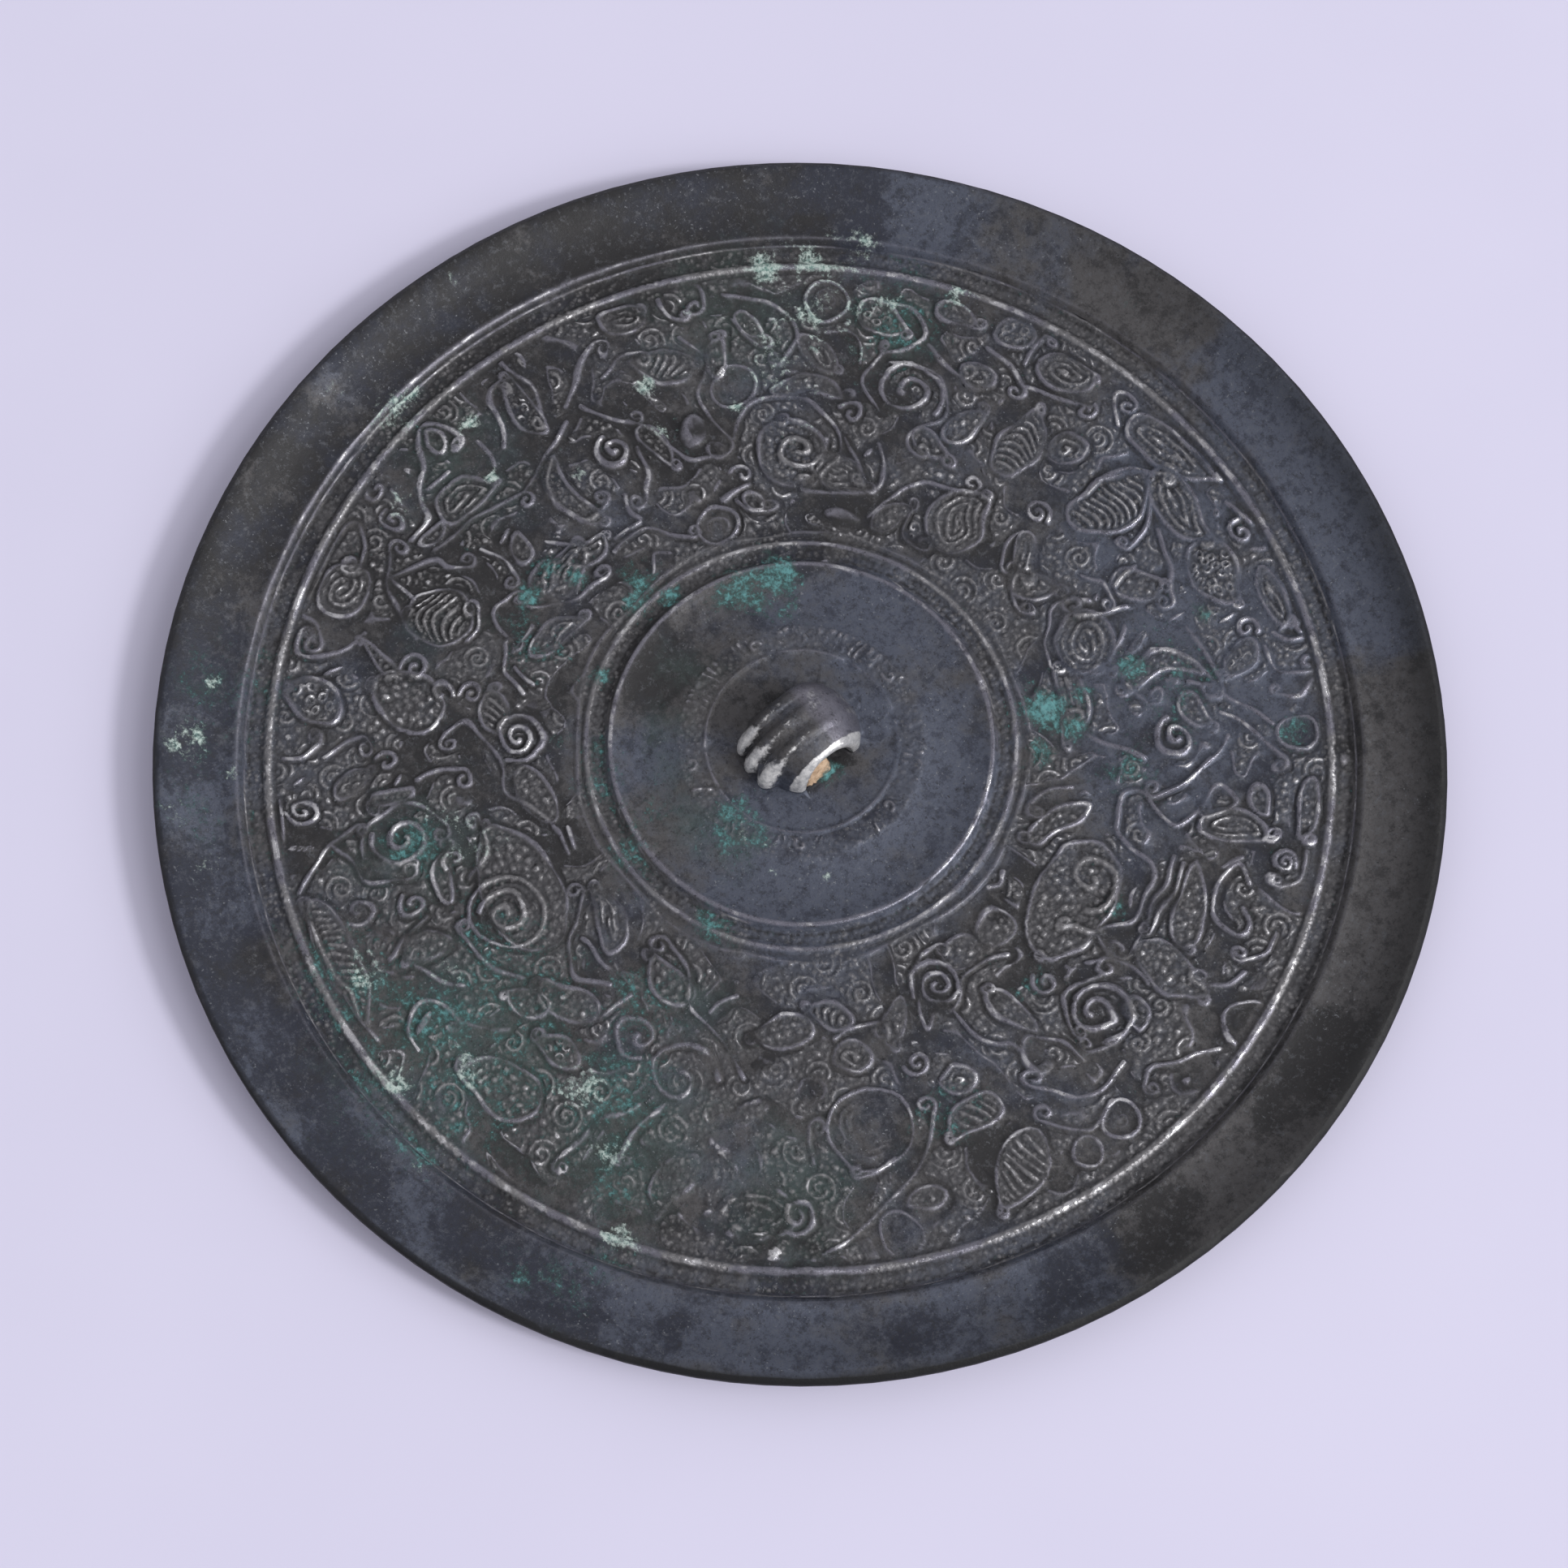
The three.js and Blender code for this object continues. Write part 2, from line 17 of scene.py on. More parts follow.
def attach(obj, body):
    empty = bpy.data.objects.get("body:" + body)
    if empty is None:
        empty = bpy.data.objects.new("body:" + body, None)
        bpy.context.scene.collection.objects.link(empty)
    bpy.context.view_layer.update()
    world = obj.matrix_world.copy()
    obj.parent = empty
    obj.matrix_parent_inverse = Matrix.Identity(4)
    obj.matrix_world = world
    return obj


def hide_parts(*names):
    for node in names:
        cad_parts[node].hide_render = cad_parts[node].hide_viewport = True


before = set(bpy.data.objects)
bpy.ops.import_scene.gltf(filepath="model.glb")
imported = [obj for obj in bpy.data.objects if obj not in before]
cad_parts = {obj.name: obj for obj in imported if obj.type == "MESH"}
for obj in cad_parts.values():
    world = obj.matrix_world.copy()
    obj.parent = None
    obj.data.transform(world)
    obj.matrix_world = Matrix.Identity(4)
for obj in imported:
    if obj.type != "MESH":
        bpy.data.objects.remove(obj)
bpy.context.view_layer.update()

MM = 0.001

# %% [markdown]
# ## Uneven surfaces
# Nothing on an old casting is exactly even, so most steps need a little drift. A lattice of
# seeded random values, blended smoothly between its points, gives a gentle one. Granules are
# the other texture that the founder used everywhere: low domes on a loose grid. Both take
# positions in millimetres, so a grain has its real size wherever it is used.

# %% Drift and granules
LATTICE = 256
OFFSET = 100  # keeps the lattice's seam away from the mirror


def ease(value, low, high):
    """0 below low, 1 above high, with a smooth turn between them."""
    t = np.clip((value - low) / (high - low), 0, 1)
    return t * t * (3 - 2 * t)


def band(value, rise_from, rise_to, fall_from, fall_to):
    """1 inside a band and 0 outside it, with both sides soft."""
    return ease(value, rise_from, rise_to) * (1 - ease(value, fall_from, fall_to))


def lattice(seed):
    return np.random.RandomState(seed).rand(LATTICE, LATTICE).astype(np.float32)


def drift(x, y, cell, seed):
    """Smooth noise from 0 to 1 that changes over about one cell, in mm."""
    table = lattice(seed)
    u, v = x / cell + OFFSET, y / cell + OFFSET
    i, j = np.floor(u).astype(int), np.floor(v).astype(int)
    s, t = u - i, v - j
    s, t = s * s * (3 - 2 * s), t * t * (3 - 2 * t)
    i, j, next_i, next_j = i % LATTICE, j % LATTICE, (i + 1) % LATTICE, (j + 1) % LATTICE
    near = table[i, j] * (1 - s) + table[next_i, j] * s
    far = table[i, next_j] * (1 - s) + table[next_i, next_j] * s
    return near * (1 - t) + far * t


def layered_drift(x, y, cell, seed):
    """Drift with finer drift on top, as a worn surface has."""
    return sum(drift(x, y, cell / 2 ** k, seed + k) * 0.5 ** k for k in range(4)) / 1.875


ROWS_CLOSER = 1.15


def nearest_grain(x, y, pitch, seed, loose=0.5):
    """Distance in mm, direction and lot of the nearest grain of a loose grid."""
    across, along = lattice(seed), lattice(seed + 1)
    u, v = x / pitch + OFFSET, y / pitch * ROWS_CLOSER + OFFSET
    i, j = np.floor(u).astype(int), np.floor(v).astype(int)
    nearest = np.full(np.shape(u), 9.0)
    heading, lot = np.zeros(np.shape(u)), np.zeros(np.shape(u))
    for a in (-1, 0, 1):
        for b in (-1, 0, 1):
            p, q = i + a, j + b
            cell = p % LATTICE, q % LATTICE
            du = u - (p + 0.5 + loose * (across[cell] - 0.5) + 0.25 * (q % 2))
            dv = (v - (q + 0.5 + loose * (along[cell] - 0.5))) / ROWS_CLOSER
            away = np.hypot(du, dv)
            closer = away < nearest
            nearest = np.where(closer, away, nearest)
            heading = np.where(closer, np.arctan2(dv, du), heading)
            lot = np.where(closer, across[(p + 7) % LATTICE, (q + 3) % LATTICE], lot)
    return nearest * pitch, heading, lot


def granules(x, y, pitch, radius, seed):
    """Domes on a loose grid, some of them taller."""
    away, _, lot = nearest_grain(x, y, pitch, seed)
    return np.clip(1 - (away / radius) ** 2, 0, 1) * (0.55 + 0.45 * lot)


WIRE_PITCH = 0.98  # mm from one turn of a small spiral to the next


def spirals(x, y, pitch, seed):
    """Small spirals wound either way on a loose grid, and 1 where they lie."""
    away, heading, lot = nearest_grain(x, y, pitch, seed, 0.35)
    hand = np.where(lot > 0.45, 1, -1)
    size = pitch * (0.34 + 0.14 * lot)
    wound = (0.5 + 0.5 * np.cos(2 * np.pi * away / WIRE_PITCH - 0.6 + hand * heading)) ** 1.3
    inside = 1 - ease(away, size - 0.25, size + 0.1)
    return wound * inside, inside


print("drift at the middle:", round(float(drift(np.zeros(1), np.zeros(1), 5, 1)[0]), 3))

# %% [markdown]
# ## The plate's section
# A mirror like this is laid out with a compass, so its section from the axis to the edge
# tells most of the shape: a flat seat for the knob, a fine raised line, a narrow collar, a
# hollowed plain band that ends in a sharp lip, a sunk groove, the flat field, a beaded
# ridge, a second groove, and a wide rim that sweeps up to a rounded lip. Blender's Spin or
# Screw tool would turn this section into a plate, but we want the relief in the same skin, so
# we keep the section as a table and look heights up in it. Every row gives a radius and a
# height above the polished face, in millimetres.

# %% Section of the back
SECTION = [
    (0.0, 2.10), (11.3, 2.20), (15.2, 2.32), (15.9, 2.22), (17.2, 1.98), (19.4, 1.78),
    (21.4, 1.88), (22.8, 2.16), (23.5, 2.40), (23.9, 2.48), (24.25, 2.22), (24.6, 1.72),
    (25.0, 1.52), (26.1, 1.52), (26.45, 1.78), (26.8, 2.02), (27.15, 1.84), (27.5, 1.66),
    (28.8, 1.60), (65.2, 1.58), (65.6, 1.70), (66.0, 2.02), (66.3, 2.12), (66.65, 1.92),
    (67.0, 1.60), (67.3, 1.48), (68.7, 1.50), (69.1, 1.78), (69.5, 2.45), (69.9, 2.90),
    (70.3, 2.96), (70.9, 2.86), (72.0, 2.92), (73.5, 3.22), (75.0, 3.75), (76.3, 4.42),
    (77.3, 5.00), (78.2, 5.40), (79.0, 5.58), (79.6, 5.46), (80.0, 4.95),
]
FIELD_FROM, FIELD_TO = 28.6, 65.2
section_radius, section_height = np.array(SECTION).T


def back_height(radius):
    return np.interp(radius, section_radius, section_height)


print("rim stands", round(float(back_height(77.4) - back_height(50)), 2), "mm over the field")

# %% [markdown]
# ## The dragons, motif by motif
# The field is divided in three, and each third holds the same tangle of one dragon: curled
# limbs, wings, scrolls and tendrils on a granulated ground. Modelling it by hand in sculpt
# mode would work, but it is easier to keep exact as a table. Turns are degrees clockwise
# from the start of the third and radii are millimetres, so a motif is read off the mirror
# like a place on a clock. There are four kinds, and a short function names the measures of
# each:
#
# - leaf: a pod with a raised outline, filled with b beads, h hatching, r rings, s a spiral,
#   l loops, or p for a plain boss. It may bend, and head and tail say how blunt its ends are
# - run: a raised line from one place to another, with its bow to the left
# - curl: a line wound inward from a start in degrees, by either hand
# - eye: a ring with a small spiral in it

# %% Four kinds of motif
def leaf(turn, radius, length, width, heading, fill, bend=0, head=0.5, tail=0.5):
    return "leaf", turn, radius, length, width, heading, fill, bend, head, tail


def run(turn, radius, to_turn, to_radius, bow=0):
    return "run", turn, radius, to_turn, to_radius, bow


def curl(turn, radius, size, turns, start=0, hand=1):
    return "curl", turn, radius, size, turns, start, hand


def eye(turn, radius, size):
    return "eye", turn, radius, size


print("a leaf's row:", leaf(30, 50, 8, 4, 90, "b"))

# %% The three thirds
FIRST_THIRD = [
    leaf(29, 38.9, 16.3, 9.6, 0, "b", 25, 0.4), curl(23.6, 39.9, 4, 1.3, 10),
    run(14.8, 42.6, 24.5, 46.9, 2.2), run(24.5, 46.9, 34.4, 40.4, 1.4),
    run(14.8, 42.6, 9.8, 40.4, 1.2), run(9.8, 40.4, 5.6, 43.2, 1), run(5.6, 43.2, 9.9, 48, -0.5),
    run(9.9, 48, 3.6, 51.8, -0.6), run(3.6, 51.8, 5.2, 54.8, 0.7), run(5.2, 54.8, 7.8, 51.6, 0.3),
    run(-1, 51.2, 5.6, 45, 0.6), leaf(8.6, 55.1, 7.4, 4.6, 90, "r"),
    leaf(4.6, 57.3, 3.6, 2.2, 10, "b"), run(15.9, 58.5, 16.5, 54.4, -2.4),
    run(16.5, 54.4, 22.3, 58.6, -1.8), run(22.3, 58.6, 19, 58.4, -1.2),
    run(12.8, 56.6, 15, 54.2, -0.2), run(20.3, 63, 24.6, 60.8, 0.5),
    run(25.8, 61.5, 30, 57.6, 0.9), leaf(30.4, 53.4, 10.5, 5.2, 84, "b", 15, 0.45, 0.6),
    run(15, 48.2, 32, 48, 0.6), run(16, 49.6, 27, 48.9, 0.3), leaf(21, 52, 11, 4.2, 14, "b", 0, 1),
    curl(41, 49.7, 4, 1.9, 60), run(37, 46.9, 45.8, 50, -2.9), run(38.5, 53, 45.8, 53, 1),
    leaf(38, 53.2, 4.2, 3, 60, "b", 0, 0.6, 0.6), run(43.4, 56.4, 55, 52.3, 2.6),
    run(47.5, 53.2, 50.8, 46.7, -0.9), run(50.8, 46.7, 53.6, 47.6, -0.7),
    run(53.6, 47.6, 53, 51, -0.3), leaf(50.9, 42.9, 7, 3.2, -70, "b", 20, 0.6),
    run(53.6, 47.4, 56, 44.8, -0.4), run(56, 44.8, 59.4, 38.8, 0.5),
    run(59.4, 38.8, 65.2, 39.6, -0.5), run(45, 37.2, 54, 36.2, -0.5),
    run(54, 36.2, 59.4, 38.8, 0.3), curl(59.6, 35.2, 3.6, 2.2, 0, -1),
    run(65.2, 39.6, 62.6, 33.2, 0.4), run(62.6, 33.2, 54.6, 30.6, 0.6),
    leaf(51.4, 33.2, 5, 4.4, 0, "b", 0, 0.4), leaf(42.6, 33.6, 5.2, 4.4, 0, "b", 0, 0.4, 0.4),
    run(32, 30.2, 37, 30.2, 0.9), leaf(15.2, 33.4, 9.4, 3, -44, "b", 28, 0.6, 0.45),
    run(7.2, 34.2, 14.8, 29.4, -1.2), curl(42.8, 42.6, 1.7, 1.2, -60),
    run(31.8, 44, 36.2, 44.8, 1.7), run(31.8, 44, 34, 40.4, -0.3), run(33.6, 52, 34, 46.4, -0.6),
    leaf(5, 63.4, 8.6, 2.6, 0, "b", 0, 0.4, 0.4), run(10.2, 64.3, 15.2, 61.6, 1.5),
    curl(12, 61.6, 1.6, 1.8, 90), eye(31, 65, 3.2), run(34.8, 64.2, 40.2, 60.4, -0.4),
    run(40.2, 60.4, 44.2, 60.2, -0.9), eye(48.8, 61.5, 2.2), eye(53.8, 61.8, 1.8),
    run(48.4, 59, 52.2, 59.9, 0.2), run(52.2, 59.9, 57, 56, 0.3),
    leaf(61.4, 60.2, 8.6, 5.4, 42, "h"), leaf(63.6, 51.6, 6.4, 4.2, 12, "h"),
    leaf(63.6, 46.8, 3.8, 3.8, 0, "s"), curl(68.6, 43, 1.7, 1.4),
    leaf(70.2, 37.3, 6.2, 2.4, 62, "b", 0, 0.6), run(84.6, 64.2, 74, 56.9, -0.5),
    run(74, 56.9, 68.2, 49.4, -0.6), eye(77.7, 49.6, 5), run(75.2, 53.6, 80, 55.2, 0.5),
    leaf(78.8, 40.6, 3.8, 3.4, 0, "s"), run(81, 38.4, 73, 37.2, 0.3),
    leaf(81.2, 35.2, 5, 3.4, -30, "h"), eye(76.4, 62.9, 2.6), leaf(72.4, 59.2, 4, 2.4, 0, "b"),
    curl(87.6, 59.4, 2.4, 1.5, 60), leaf(94.6, 47.2, 4.4, 2, 52, "b", 0, 0.6, 0.6),
    run(86, 53.4, 86, 48.4, 0.3), leaf(92.6, 59.6, 8.4, 6.4, 0, "s"),
    leaf(90.6, 37.4, 6, 4.4, 20, "b"), run(96.4, 43.2, 108, 37.2, -0.6),
    run(108, 37.2, 120.5, 30.2, -0.9), curl(106, 45.4, 5, 1.2, 200),
    curl(115, 42.2, 3.2, 1.4, 120, -1), run(107, 48.8, 110.4, 56.6, -0.4),
    run(110.6, 50.4, 116.6, 60.6, -0.5), leaf(103, 57.4, 8, 4.6, 70, "b"),
    leaf(115.4, 35, 7, 3.4, -20, "b"), run(101, 33.4, 104.6, 36.4, -0.3),
]
SECOND_THIRD = [
    leaf(25.2, 39.6, 9.4, 8.6, 90, "b", 0, 0.45, 0.45), curl(26.6, 40.2, 3.6, 1.3, 20, -1),
    run(15.4, 42.4, 26, 47.3, 2.2), run(26, 47.3, 34.9, 39.9, 1.8),
    run(34.9, 39.9, 28.4, 34.2, 0.3), leaf(35.2, 37, 6.6, 5.6, -12, "s"),
    run(35, 42.2, 40.4, 37, 0.4), run(41.4, 42.2, 42.2, 36, 0.9), run(42.2, 36, 27.6, 34, 0.7),
    leaf(40, 40.7, 2.2, 1, 60, "p", 0, 0.6, 0.6), leaf(37, 31.1, 4.8, 2.6, 0, "p", 0, 0.6, 0.6),
    run(42.2, 32.1, 51, 38.4, 0.8), run(51, 38.4, 60, 40.8, -0.4),
    curl(15, 36.8, 1.7, 0.9, 160, -1), run(16.6, 35.6, 10.4, 34, -0.2), eye(7, 31, 2.6),
    run(13, 33.8, 20, 31.4, -0.6), leaf(17.4, 33.2, 3.4, 2.4, -50, "b", 0, 0.5, 0.7),
    leaf(8, 54.6, 8.2, 4.4, -24, "h", 0, 0.8), run(0, 56.4, 6, 57.4, 0.8),
    run(11.4, 57.9, 12, 49.4, 2), run(12, 49.4, 14.9, 42.6, -0.5),
    run(14.9, 42.6, 12.4, 40.2, 0.5), run(0, 49.6, 5.2, 43.6, 0.8),
    run(5.2, 43.6, 12.2, 40.4, -1.2), leaf(2.8, 45, 6, 3.4, -70, "b"),
    leaf(9.4, 44.6, 5.6, 4.4, 80, "p"), run(18, 63.2, 26.8, 57, 1.7), run(26.8, 57, 24.4, 52, 0.5),
    run(18.2, 59.2, 22, 54.4, -0.6), leaf(20.6, 58, 4.6, 3.4, -60, "l"),
    leaf(25.6, 50.8, 2.6, 1.1, -14, "p"), eye(30.3, 61.3, 2.7), eye(17.3, 49.4, 2.9),
    run(13, 65.4, 15.4, 62.2, 1.4), run(10.2, 64, 12.6, 60.6, -0.9),
    leaf(5.4, 63, 6, 4, 0, "s", 0, 0.4, 0.4), leaf(15.6, 54, 4.6, 3, 80, "b"),
    leaf(29.4, 53.6, 7, 3.4, -56, "r", 0, 0.6, 0.6), leaf(28.4, 49, 8.4, 2.6, -4, "b"),
    curl(35.6, 45.8, 1.5, 1.1, 160, -1), run(38.6, 54.6, 39.8, 46.5, -2.6),
    curl(43.2, 50.4, 4.6, 1.7, -30), run(40.2, 53.6, 49.3, 49.8, 3),
    run(49.3, 49.8, 45.4, 44.2, 0.9), run(45.4, 44.2, 47.8, 41.6, -0.5),
    leaf(49.6, 43.8, 4.6, 3.4, -20, "r"), leaf(51.8, 55.6, 5, 3.8, -10, "s", 0, 0.6),
    run(44.4, 57.6, 50, 54.6, -0.4), leaf(52.8, 48.4, 5, 3.6, 70, "b"),
    run(37, 62.2, 43.6, 59.4, 1.8), run(43.6, 59.4, 38.8, 54.8, 1.2),
    leaf(37.6, 59.6, 6.6, 4.6, -30, "l"), leaf(53.4, 63.2, 4.8, 3.6, 0, "l", 0, 0.4, 0.4),
    run(56.2, 59.8, 56.6, 64.6, 0.5), leaf(46.4, 63, 4.6, 3.2, 0, "b"),
    leaf(61.4, 61.6, 7.2, 5.4, 18, "r"), run(58, 57, 66.4, 59.4, -0.2),
    curl(66.4, 58.6, 1.4, 1.2, 90, -1), run(51.4, 60.1, 58, 57, 0.5),
    leaf(62.3, 50.2, 8.6, 6, 92, "h"), leaf(67.9, 52.8, 4.6, 4.4, 90, "r", 0, 0.5, 0.35),
    leaf(78.2, 51.6, 10.2, 7, 78, "h"), run(73.8, 49.4, 79, 60.2, 1.2),
    leaf(83.2, 58, 10.2, 5.2, -6, "s"), leaf(77.6, 62.4, 13.6, 5.2, 14, "s", 0, 0.4, 0.9),
    run(81, 55.9, 84.8, 49.6, 0.8), run(84.8, 54.2, 95, 50.8, 0.8),
    run(70.6, 59.8, 67.9, 63.6, 0.3), run(67.9, 63.6, 70.4, 64.2, 0.8),
    leaf(90.8, 48, 5.6, 4.2, 60, "b"), run(88, 49, 89.6, 45.4, -0.2), run(85, 42.4, 92, 44.2, 1.2),
    leaf(89.6, 42.2, 1.8, 1, -70, "p"), run(89.4, 41, 88.6, 36, -0.9), run(88.6, 36, 99, 33, -0.6),
    run(93.6, 45.2, 90.6, 38.4, 0.3), leaf(96.4, 38.2, 8.6, 6.6, -8, "s", 0, 0.5, 0.6),
    run(96.4, 43.6, 103, 39.4, -0.5), leaf(103.5, 46.6, 12.4, 2.8, -90, "b", 130, 0.7, 0.45),
    run(101.2, 46, 110.2, 44, -3.6), run(101.2, 46, 108.6, 53, 1.4),
    run(107.8, 49.6, 109.2, 53.2, -0.3), run(109.2, 53.2, 114.4, 59, 0.2),
    run(112.2, 53.2, 119.4, 60.4, 0.3), run(99.6, 51.2, 109, 53.8, 0.4),
    leaf(97.3, 50.5, 2.8, 1.1, -76, "p"), leaf(98.8, 63.2, 8.4, 3.4, 3, "r", 0, 0.6),
    run(102.8, 61.4, 104.6, 65, -0.7), leaf(102.4, 62.8, 2.2, 1, -64, "p"),
    leaf(93.4, 57.4, 8.4, 6.4, 0, "l"), leaf(99.8, 56.2, 3, 1.1, -66, "p"),
    curl(102, 58.2, 1.8, 1.2, 60), run(105, 60.4, 108.6, 64, -1.4),
    run(109.6, 64.8, 111.2, 60.2, 0.9), eye(115.8, 62, 2.6), leaf(105.4, 56.8, 5, 3.4, -60, "l"),
    run(116.2, 53.3, 120.4, 50.3, 0.2), curl(116.3, 46.6, 2.8, 1.6, 200),
    run(119.8, 42.8, 112, 33.6, 0.9), leaf(112, 49.6, 4.4, 2.8, 40, "b"),
    leaf(108, 34.6, 10, 3.6, -6, "r"), curl(71.6, 43.7, 1.7, 1.5),
    run(72.6, 40.4, 73.6, 35.2, -1.3), leaf(76, 38.2, 5.6, 3, -40, "r"),
    run(76.8, 37, 84.8, 33.2, -1.1), leaf(81.8, 36.4, 5.4, 4, 36, "r"),
    leaf(60.9, 36.5, 8.6, 7.2, 90, "s"), run(51.2, 34, 56.6, 30, -1.2),
    leaf(47.2, 33.2, 5.2, 3.2, 44, "b"), curl(90, 63.4, 1.9, 1.2, 160), run(86, 63.8, 91.2, 66.4),
]
THIRD_THIRD = [
    leaf(6.6, 56.8, 9.4, 6.8, 0, "b"), run(16.6, 60.6, 21.5, 57.2, 1.3),
    run(21.5, 57.2, 16.2, 54.8, 1.1), leaf(19, 58, 3.6, 1.6, -60, "p"),
    run(11, 51.2, 16.2, 54.8, 0.2), run(20, 51.6, 25.6, 55.4, 0.3),
    run(28.2, 57.6, 30.2, 51.2, 0.2), leaf(27, 53, 6, 3.4, 80, "b", 0, 0.6),
    leaf(30.4, 62.7, 17.6, 4.6, -1, "h", 0, 0.7), run(39.4, 64.2, 45.6, 56.2, 1.2),
    run(20.4, 64.2, 38.4, 65), curl(35, 58.4, 2.1, 1.1, 130), curl(32.8, 52.2, 1.8, 1.3, 20),
    run(44, 58.9, 36.5, 51.4, -2.2), run(40, 56.4, 47.9, 50.4, 2.4), run(47.9, 50.4, 43, 45.2, 1),
    curl(42.6, 51, 3.8, 1.6, 70), leaf(38.6, 52.8, 5.4, 1.8, 70, "b"),
    leaf(49, 51.2, 5.8, 1.6, 94, "b", 0, 0.4, 0.4), leaf(51.6, 55.8, 4.6, 3, -50, "l"),
    curl(48.8, 62.2, 2.3, 1.5, 100), leaf(52.4, 62.4, 2.2, 0.9, -56, "p"),
    run(45.4, 65.2, 50.4, 65.1), run(55.2, 64.4, 56.6, 59.8, -0.4),
    run(55.2, 59.2, 57.4, 54.8, 0.3), curl(54, 51.6, 1.7, 0.9, 60, -1),
    leaf(51.2, 50.1, 1.9, 1, -30, "p"), run(50.6, 47.8, 51.8, 42.2, 0.9),
    leaf(28.8, 39.4, 17, 9.6, -2, "b", 24, 0.42, 0.6), eye(25.8, 42.4, 4.6),
    curl(25.8, 42.4, 3.2, 1.5, 60, -1), run(15, 45.6, 26.6, 48.7, 1.2),
    run(33.2, 45, 42.6, 41, -1.7), leaf(35.6, 47.8, 6.6, 2, -22, "l"),
    curl(37, 45.6, 1.5, 0.9, 120, -1), run(4, 38.8, 15, 38.8, 2.2),
    run(15, 38.8, 21.4, 33.2, -0.4), run(6, 37.2, 13.6, 37.2),
    leaf(12.8, 32.8, 7.6, 3.6, -26, "r"), run(22.4, 33.4, 19.6, 31.4, -0.3),
    run(0, 38.4, 1.7, 43, 0.2), leaf(7.6, 44, 7.4, 4.6, 20, "b"), leaf(3.6, 49.2, 5, 3.4, 0, "l"),
    leaf(12, 47.6, 5, 3.6, 30, "b"), run(30.4, 32, 44.4, 35.8, -0.5),
    run(44.4, 35.8, 52, 37.5, 1.3), run(52, 37.5, 60.2, 41.8, -0.4),
    run(60.2, 41.8, 57.4, 44.8, -0.8), leaf(45, 33.8, 8.6, 4.2, 18, "b", 0, 0.6),
    curl(58.5, 35.2, 3.6, 2.2, 150), leaf(62.8, 38.4, 4.6, 4, 0, "h"),
    leaf(33.4, 31.2, 3.4, 1.6, 4, "p"), leaf(62.2, 61.2, 7, 5.2, 62, "l"),
    leaf(65.9, 59.6, 3.2, 1.1, -56, "p"), leaf(63.3, 49.6, 9.6, 7.4, 62, "b", 0, 0.45, 0.55),
    leaf(69.2, 54.2, 6.6, 2, 46, "h", 0, 0.4, 1), curl(65.3, 45.6, 1.6, 0.9, -90),
    curl(68.3, 49.4, 2, 1.3, 100, -1), curl(65.4, 41.6, 1.7, 1.3, 90, -1),
    leaf(77.3, 48.6, 8.6, 7.4, 96, "h", 0, 0.5, 0.45), run(72.8, 50.2, 83.2, 58.2, 1.6),
    run(78, 52.8, 79.8, 56.2), run(80, 56, 84.7, 52.6, 0.4), run(84.7, 52.6, 86.2, 48.4, -0.3),
    run(74.4, 44.2, 80.6, 44, -0.7), run(67.8, 35.2, 76, 39.6, 1.4), run(75.2, 38.4, 82, 37.7),
    run(70.2, 34.2, 72.6, 37.2, 0.2), run(77.8, 39.6, 86.4, 41.4, 1.9),
    leaf(82.6, 34.6, 7, 3.2, -30, "r"), run(85.6, 53.7, 100.4, 49.2, 0.3),
    leaf(94.6, 54.4, 7.8, 5, -8, "s"), leaf(87.6, 54.6, 3.4, 1.8, -10, "h"),
    run(85.8, 56.6, 91.4, 58.6, -1.1), run(91.4, 58.6, 98.4, 65.2, -0.1),
    run(98.4, 65.2, 100.4, 60, 1), leaf(98.4, 62.6, 3, 2.2, 70, "b"),
    run(92.8, 58.5, 96.4, 58, 0.2), curl(87, 59.6, 2, 1.4, 60), curl(89.3, 64, 1.6, 0.9, 120),
    leaf(76.4, 61.2, 7.6, 6.2, 0, "s", 0, 0.45, 0.45), run(72.2, 65.3, 84.8, 64.2, 0.9),
    run(84.8, 64.2, 79.6, 60.8, 0.8), run(72.2, 65.3, 69.6, 61.8, 0.8),
    run(72.2, 56.4, 67.3, 63.4, 0.9), run(67.3, 63.4, 70.4, 64.4, 0.9),
    run(103.2, 55.8, 105.8, 60.8, -0.5), run(105.8, 60.8, 108.6, 62.6, 0.6),
    run(110.2, 65.2, 110.4, 55, 1.4), leaf(108.6, 58.2, 8, 3.8, 84, "l"),
    run(100.6, 49.2, 112.6, 53.4, -0.2), run(101.2, 58.2, 101, 54.8),
    leaf(104.6, 44.8, 12, 3.2, -90, "b", 110, 0.6), run(107.8, 50, 102.6, 44.6, -1),
    run(102.6, 44.6, 110.2, 41, -2.2), curl(115.6, 46.2, 2.5, 1.5, 100),
    run(119.2, 45.2, 116, 38, 0.8), run(113.2, 40.2, 113.6, 36.6, -0.7),
    run(107, 35.9, 113.2, 36.2), run(104, 34.7, 113.2, 34.9, 0.3),
    run(113.2, 34.9, 120.4, 30.5, -0.3), run(115.4, 54.2, 120.6, 48.8, -0.4),
    run(113.4, 55.2, 121, 61, 0.6), run(85.2, 38.8, 99, 32.8, -0.8),
    leaf(95, 37.6, 7.2, 5, 14, "s"), leaf(91, 39.6, 4, 2.6, 20, "l"),
    leaf(93.4, 46.8, 2.6, 1, -6, "p"), run(89.8, 48.4, 89.2, 42.2, 0.5),
    run(97, 42.2, 101.6, 38.4, -0.2), run(107.6, 29.9, 113.8, 29.9, 1.4),
    leaf(100.8, 36.8, 5.6, 3.2, 0, "r"), leaf(93, 44.2, 3.6, 2.4, 60, "b"),
]

